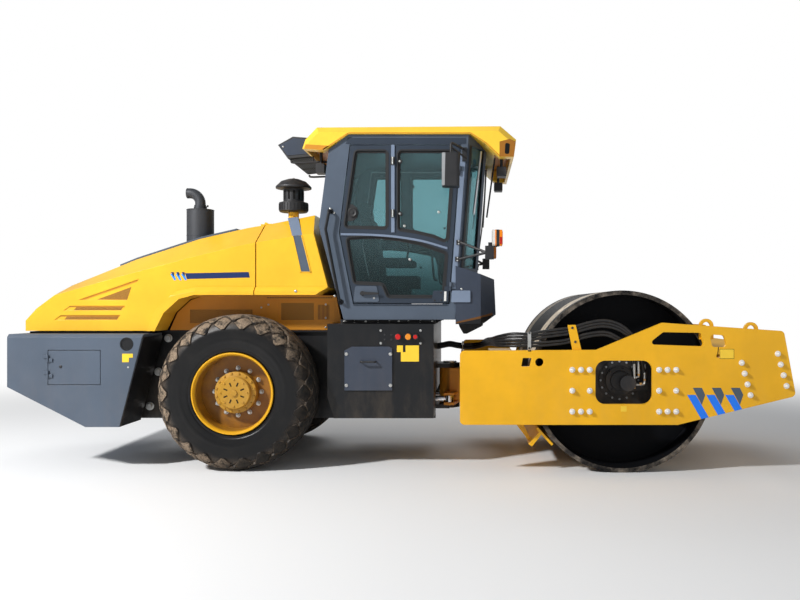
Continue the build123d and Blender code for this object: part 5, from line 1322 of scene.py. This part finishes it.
def mirror_and_signal_faces():
    """Mirror glass in its pale rim, and the coloured bands of the signal lamps."""
    def mirrors(face):
        shell = rounded(rect(*face.span(0.99, 1.13), 2.513, 2.797), 0.025)
        add_prism(face.bm, shell, 0.3925, 0.3952, in_front)
        add_prism(face.bm, inset(shell, 0.007), 0.3915, 0.3945, in_front, mat=1)
        edge = [(0.395, 2.512), (0.418, 2.512), (0.424, 2.798), (0.395, 2.798)]
        face.plate(rounded(edge, 0.006, 2), 0.0012)
    on_both("mirror_faces", "pale_grey_plastic mirror_glass", "root", outer_y("mirrors"), mirrors)

    def signals(face):
        around = rounded(rect(*face.span(0.89, 1.01), 1.999, 2.139), 0.025)
        for x0, x1, grow, mat in SIGNAL_BANDS:
            add_prism(face.bm, inset(around, -grow), x0, x1, in_front, mat)
        reflector = rounded(rect(0.9015, 0.9215, 2.012, 2.075), 0.003, 2)
        face.plate(reflector, 0.0012, mat=1, lift=0.0022)
        for z in (2.043, 1.89):
            for dz in (-0.013, 0.013):
                face.dome(corner_x(z) - 0.018, z + dz, 0.008, 0.006, mat=4, lift=0.802 - face.y)
    materials = "black_plastic red_lens clear_lens amber_lens zinc_plated_steel"
    on_both("signal_lamp_bands", materials, "root", outer_y("signal_lamps"), signals)


def cab_inside():
    """Arm rests, lever, display, pedals and mat round the seat, and its head rest."""
    bm = bmesh.new()
    for side, _ in SIDES:
        Side(bm, side, 0.25).plate(rounded(rect(-0.29, 0.07, 1.862, 1.93), 0.02), 0.095)
    add_tube(bm, [(0.02, -0.3, 1.92), (0.035, -0.3, 2.0), (0.045, -0.3, 2.06)], 0.01, 12, mat=1)
    grip = [(0, -0.05), (0.02, -0.045), (0.026, 0.0), (0.024, 0.05), (0.012, 0.07), (0, 0.07)]
    add_turned(bm, grip, (0.047, -0.3, 2.08), (0.1, 0, 1), 20, mat=1)
    add_box(bm, (0.42, -0.58, 2.03), (0.45, -0.36, 2.19), mat=1)
    add_box(bm, (0.417, -0.565, 2.045), (0.4205, -0.375, 2.175), mat=2)
    add_tube(bm, [(0.44, -0.47, 1.8), (0.44, -0.47, 2.03)], 0.014, 12, mat=1)
    for y in (-0.12, 0.12):
        add_box(bm, (0.4, y - 0.04, 1.42), (0.42, y + 0.04, 1.55), mat=1)
    add_box(bm, (-0.55, -0.7, 1.398), (0.55, 0.7, 1.404), mat=3)
    finished(bm, "cab_controls", "grey_trim black_plastic dark_screen rubber", "root")

    bm = bmesh.new()
    rest = rounded([(-0.455, 2.325), (-0.345, 2.325), (-0.375, 2.49), (-0.47, 2.49)], 0.03)
    add_prism(bm, rest, -0.13, 0.13, in_side)
    for y in (-0.06, 0.06):
        add_tube(bm, [(-0.395, y, 2.27), (-0.405, y, 2.36)], 0.007, 8)
    finished(bm, "head_rest", "seat_fabric", "root")


# ================================================================ exhaust and pre-cleaner
UP, BACK = (0, 0, 1), (-1, 0, 0)


def standing(axis, z):
    """Point on an upright axis."""
    return Vector((axis.x, axis.y, z))


def upright_strip(axis, angle, r, half_w, low, high):
    """Corners of an upright strip that faces away from an upright axis, and the way it faces."""
    out = Vector((math.cos(angle), math.sin(angle), 0))
    across = Vector((-out.y, out.x, 0)) * half_w
    foot, head = standing(axis, low) + out * r, standing(axis, high) + out * r
    return [foot - across, foot + across, head + across, head - across], out


def exhaust_trim():
    """Bands and clamp of the exhaust, and its end pipe's lip and bore, near-black with soot and painted
    shade.
    """
    bm = bmesh.new()
    can_r = 0.129
    for z, grow in ((2.404, 0.0022), (2.15, 0.0015)):
        band = [(can_r, 0), (can_r + grow, 0.001), (can_r + grow, 0.008), (can_r, 0.009)]
        add_turned(bm, band, standing(STACK, z), UP, 64)
    add_turned(bm, [(0.05, 0), (0.058, 0), (0.058, 0.016), (0.05, 0.016)], standing(STACK, 2.441), UP, 40)
    add_box(bm, (-1.972, -0.212, 2.44), (-1.95, -0.188, 2.458))
    add_bolt(bm, (-1.961, -0.212, 2.449), (0, -1, 0), 0.012, 0.008, mat=1)
    end = Vector((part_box("exhaust")[0].x, STACK.y, 2.575))
    lip = [(0.04, -0.004), (0.05, -0.004), (0.0515, 0.0), (0.05, 0.004), (0.04, 0.004)]
    add_turned(bm, lip, end + Vector((0.0045, 0, 0)), BACK, 36)
    # near-black disc in the bore: soot and painted shade
    add_turned(bm, disc(0.045, 0.001), end + Vector((0.0012, 0, 0)), BACK, 36, mat=2)
    finished(bm, "exhaust_trim", "black_heat_paint zinc_plated_steel soot", "hood")


def pre_cleaner_trim():
    """Collar, fins, slots in painted shade, top nut and rim of the pre-cleaner."""
    bm = bmesh.new()
    collar = [(0.0482, 0), (0.0505, 0.002), (0.0505, 0.052), (0.0482, 0.054)]
    add_turned(bm, collar, standing(CLEANER, 2.316), UP, 32, mat=1)
    for angle in angles(28):
        fin, out = upright_strip(CLEANER, angle, 0.1375, 0.003, 2.392, 2.452)
        bm.faces.new(add_rings(bm, [fin, [corner + out * 0.004 for corner in fin]])[1])
    # the strips below are near-black: painted shade in the slots
    for angle in angles(12, 0.5):
        add_face(bm, upright_strip(CLEANER, angle, 0.0995, 0.01, 2.49, 2.575)[0], mat=2)
    nut = [(0, 0), (0.012, 0), (0.012, 0.008), (0.006, 0.012), (0, 0.012)]
    add_turned(bm, nut, standing(CLEANER, 2.693), UP, 16, mat=3)
    rim = [(0.168, 0), (0.1705, 0.004), (0.1705, 0.016), (0.167, 0.022)]
    add_turned(bm, rim, standing(CLEANER, 2.6), UP, 64)
    finished(bm, "pre_cleaner_trim", "black_plastic yellow_enamel soot zinc_plated_steel", "root")


# ================================================================ vibration drives
def drive_covers(face):
    """Bolt ring, stepped cap, cast ribs and bolts on a vibration drive, seen in the plate's window."""
    ring = [(0, 0), (0.188, 0), (0.188, 0.006), (0.184, 0.008), (0.15, 0.008), (0.146, 0.014), (0, 0.014)]
    face.turned(DRUM.x, DRUM.z, ring, 64)
    for angle in angles(16):
        face.bolt(*on_circle(DRUM, 0.169, angle), 0.014, 0.008, mat=1, lift=0.008, roll=angle)
    cap = 0.04
    steps = [(0.128, 0), (0.128, 0.004), (0.09, 0.01), (0.086, 0.02), (0.06, 0.024), (0, 0.024)]
    face.turned(DRUM.x, DRUM.z, steps, 48, lift=cap)
    for start, stop, r in ((0.4, 2.3, 0.075), (2.7, 4.4, 0.062), (4.9, 6.0, 0.078)):
        arc = [on_circle(DRUM, r, start + (stop - start) * k / 8) for k in range(9)]
        face.tube([(x, face.y + cap + 0.019, z) for x, z in arc], 0.005, 8)
    for dx, dz in ((-0.085, 0.07), (0.02, 0.1), (-0.07, -0.075)):
        face.bolt(DRUM.x + dx, DRUM.z + dz, 0.016, 0.01, lift=cap + 0.006)


def drive_fittings():
    """Covers of both vibration drives, and the hose ends and elbows in the right plate's window."""
    on_both("drive_covers", "painted_casting pale_grey_plastic", "front_frame", 0.93, drive_covers)

    face = Side(bmesh.new(), RIGHT, 0.985)
    bm, y = face.bm, face.y
    for x, low in ((2.095, 0.8), (2.135, 0.862), (2.188, 0.818)):
        face.tube([(x, y, low), (x, y, 0.972)], 0.014, 14)
        add_turned(bm, disc(0.015, 0.02), face.at(x, low + 0.018), UP, 6)
        add_turned(bm, disc(0.0145, 0.018), face.at(x, low - 0.018), UP, 6, mat=1)
    for elbow in (
        ((2.188, 0.805), (2.188, 0.775), (2.165, 0.765), (2.12, 0.765), (2.095, 0.758), (2.095, 0.735)),
        ((2.135, 0.85), (2.13, 0.835), (2.11, 0.83), (2.095, 0.828)),
    ):
        face.tube([(x, y, z) for x, z in elbow], 0.011, 14, smooth=4)
    for x, z in ((2.15, 0.765), (2.095, 0.73)):
        add_turned(bm, disc(0.016, 0.018), face.at(x, z), UP, 6, mat=1)
    face.plate(rect(2.07, 2.22, 0.71, 0.79), 0.034, mat=2, lift=-0.047)
    finished(bm, "drive_hose_ends", "zinc_plated_steel brass_fitting painted_casting", "front_frame")


# ================================================================ hoses
HOSE_R = 0.0125
HOSES = ((-0.07, 0.0), (-0.035, 0.02), (0.0, 0.034), (0.035, 0.02), (0.07, 0.0))   # Y and rise
RUN_Y = 1.086              # hoses' distance out along the right side plate


def front_route(k):
    """Centre line of the k-th hose on the front frame, from the joint's clamp to the drive window."""
    y0, rise = HOSES[k]
    z = 1.112 + 0.027 * k
    joint = [(0.57, y0, 1.04 + rise), (0.69, y0, 1.046 + rise), (0.79, y0 - 0.19, 1.08 + 0.012 * k)]
    bend = [(0.84, -0.56 - 0.03 * k, 1.1 + 0.016 * k), (0.9, -0.9, 1.105 + 0.022 * k),
            (1.01, -1.06, z), (1.155, -RUN_Y, z)]
    if k > 1:
        j, lift = k - 2, 0.025
        arch = ((1.519, 1.222), (1.66, 1.262), (1.794, 1.284), (1.92, 1.262), (2.03, 1.19))
        drop = [(2.09 + 0.03 * j, 0.01 - RUN_Y, 1.1), (2.095 + 0.046 * j, -1.01, 1.02),
                (2.095 + 0.0465 * j, -0.985, 0.945)]
    else:
        j, lift = k, 0.006
        arch = ((1.48, 1.14), (1.676, 1.196), (1.833, 1.206), (1.95, 1.15), (2.06, 1.06))
        drop = [(2.15, 0.02 - RUN_Y, 0.98), (2.17, -1.01, 0.93), (2.175 + 0.012 * j, -0.985, 0.87)]
    run = [(1.3, -RUN_Y, z + lift)] + [(x, -RUN_Y, level + 0.026 * j) for x, level in arch]
    return joint + bend + run + drop


def hoses():
    """Five hoses from the rear frame over the centre joint and along the right side plate."""
    bm = bmesh.new()
    for y, rise in HOSES:
        route = [(0.3, y * 0.9, 1.04), (0.36, y * 0.95, 1.052), (0.43, y, 1.064), (0.5, y, 1.052),
                 (0.575, y, 1.04)]
        add_tube(bm, smooth_path([(x, across, z + rise) for x, across, z in route]), HOSE_R, 14)
    rear = finished(bm, "rear_hose_bundle", "hose_rubber", "root", 60)
    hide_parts("frame_hoses")

    bm = bmesh.new()
    for k in range(len(HOSES)):
        add_tube(bm, smooth_path(front_route(k), 7), HOSE_R, 14)
    front = finished(bm, "front_hose_bundle", "hose_rubber", "front_frame", 60)
    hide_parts("front_hoses")


def hose_clamps():
    """Clamp over the joint, steel clamp on the plate's edge and the painted bracket beside it."""
    bm = bmesh.new()
    add_box(bm, (0.545, -0.095, 0.845), (0.575, 0.095, 1.02))
    for low, high in ((1.02, 1.03), (1.078, 1.092)):
        add_box(bm, (0.548, -0.1, low), (0.572, 0.1, high), mat=1)
    for y in (-0.092, 0.092):
        add_bolt(bm, (0.56, y, 1.092), UP, 0.014, 0.01, mat=1)
        add_tube(bm, [(0.56, y, 1.028), (0.56, y, 1.08)], 0.005, 8, mat=1)
    clamp = finished(bm, "joint_hose_clamp", "shaded_enamel zinc_plated_steel", "centre")
    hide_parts("joint_hoses")

    face = Side(bmesh.new(), RIGHT, 1.101)
    face.plate(rounded(rect(1.141, 1.171, 1.075, 1.238), 0.004, 2), 0.006)
    face.plate(rect(1.141, 1.171, 1.068, 1.078), 0.046, lift=0.003)
    bracket = [(1.532, 1.07), (1.612, 1.07), (1.56, 1.298), (1.488, 1.298)]
    face.plate(rounded(bracket, 0.006, 2), 0.007, mat=2, lift=0.001)
    for z in (1.096, 1.228):
        face.bolt(1.156, z, 0.014, 0.008, mat=1, lift=0.006)
    for x, z in ((1.53, 1.272), (1.556, 1.15)):
        face.bolt(x, z, 0.016, 0.009, mat=1, lift=0.008)
    finished(face.bm, "plate_hose_clamps", "zinc_plated_steel dark_steel plate_enamel", "front_frame")


# ================================================================ stage
FLOOR_HALF = 60
LOOK_AT = Vector((0.3, 0, 1.2))
LIGHTS = (                 # name, place, watts and width
    ("key", (-7.4, -6.6, 7.2), 1330, 0.8),
    ("fill", (7, -9, 3), 60, 5.0),
    ("back", (0, 9, 7), 280, 5.0),
)


def floor():
    """Pale floor that fades into the white surround."""
    corners = [(x, y, 0) for x, y in rect(-FLOOR_HALF, FLOOR_HALF, -FLOOR_HALF, FLOOR_HALF)]
    mesh = bpy.data.meshes.new("floor")
    mesh.from_pydata(corners, [], [(0, 1, 2, 3)])
    plane = bpy.data.objects.new("floor", mesh)
    bpy.context.scene.collection.objects.link(plane)
    n = Nodes("floor")
    n.set(color=(0.86, 0.86, 0.86), rough=0.8, specular=0.1)
    length = n.add("ShaderNodeVectorMath", operation="LENGTH")
    n.link(n.place, length.inputs[0])
    glow = n.add("ShaderNodeEmission")
    n.feed(glow.inputs["Color"], (1, 1, 1))
    blend = n.add("ShaderNodeMixShader")
    far = n.ramp(length.outputs["Value"], 5.0, 11.0)
    for source, target in zip((far, n.shader.outputs[0], glow.outputs[0]), blend.inputs):
        n.link(source, target)
    n.link(blend.outputs[0], n.tree.nodes["Material Output"].inputs[0])
    mesh.materials.append(n.material)


def surround():
    """World that is white to the camera and through glass, and a dim cool light to everything else."""
    world = bpy.data.worlds.new("studio")
    bpy.context.scene.world = world
    world.use_nodes = True
    tree = world.node_tree
    tree.nodes.clear()
    backgrounds = []
    for color, strength in (((0.93, 0.96, 1.0, 1), 0.3), ((1, 1, 1, 1), 1.0)):
        background = tree.nodes.new("ShaderNodeBackground")
        background.inputs["Color"].default_value = color
        background.inputs["Strength"].default_value = strength
        backgrounds.append(background.outputs[0])
    rays = tree.nodes.new("ShaderNodeLightPath")
    seen = tree.nodes.new("ShaderNodeMath")
    seen.operation, seen.use_clamp = "ADD", True
    mixed = tree.nodes.new("ShaderNodeMixShader")
    output = tree.nodes.new("ShaderNodeOutputWorld")
    for ray, socket in zip(("Is Camera Ray", "Is Transmission Ray"), seen.inputs):
        tree.links.new(rays.outputs[ray], socket)
    for source, target in zip((seen.outputs[0], *backgrounds), mixed.inputs):
        tree.links.new(source, target)
    tree.links.new(mixed.outputs[0], output.inputs[0])


def lights():
    """Soft lamps that face the machine."""
    for name, place, watts, width in LIGHTS:
        lamp = bpy.data.lights.new(name, "AREA")
        lamp.energy, lamp.size = watts, width
        holder = bpy.data.objects.new(name, lamp)
        holder.location = place
        holder.rotation_euler = (LOOK_AT - Vector(place)).to_track_quat("-Z", "Y").to_euler()
        bpy.context.scene.collection.objects.link(holder)


def camera():
    """Level camera square to the right side."""
    lens = bpy.data.cameras.new("camera")
    lens.sensor_width, lens.lens = 36, 35.55
    lens.shift_x, lens.shift_y = -0.091, 0.0075
    holder = bpy.data.objects.new("camera", lens)
    holder.location = (0.662, -8.0, 1.463)
    holder.rotation_euler = (math.pi / 2, 0, 0)
    bpy.context.scene.collection.objects.link(holder)
    bpy.context.scene.camera = holder
    bpy.context.scene.view_settings.view_transform = "Standard"


for build in (
    floor, surround, lights, camera, dress_nodes, tyres, wheel_fittings, plate_bolts, plate_stripes,
    plate_signs, hood_vents, hood_trim, cowl_stripe, panel_grilles, tail_trim, hood_seal, tail_bolts,
    tank_trim, step_treads, door_trim, cab_trim, glass_seals, roof_trim, air_conditioner_trim, nose_trim,
    lamp_lenses, mirror_and_signal_faces, cab_inside, exhaust_trim, pre_cleaner_trim, drive_fittings, hoses,
    hose_clamps,
):
    build()
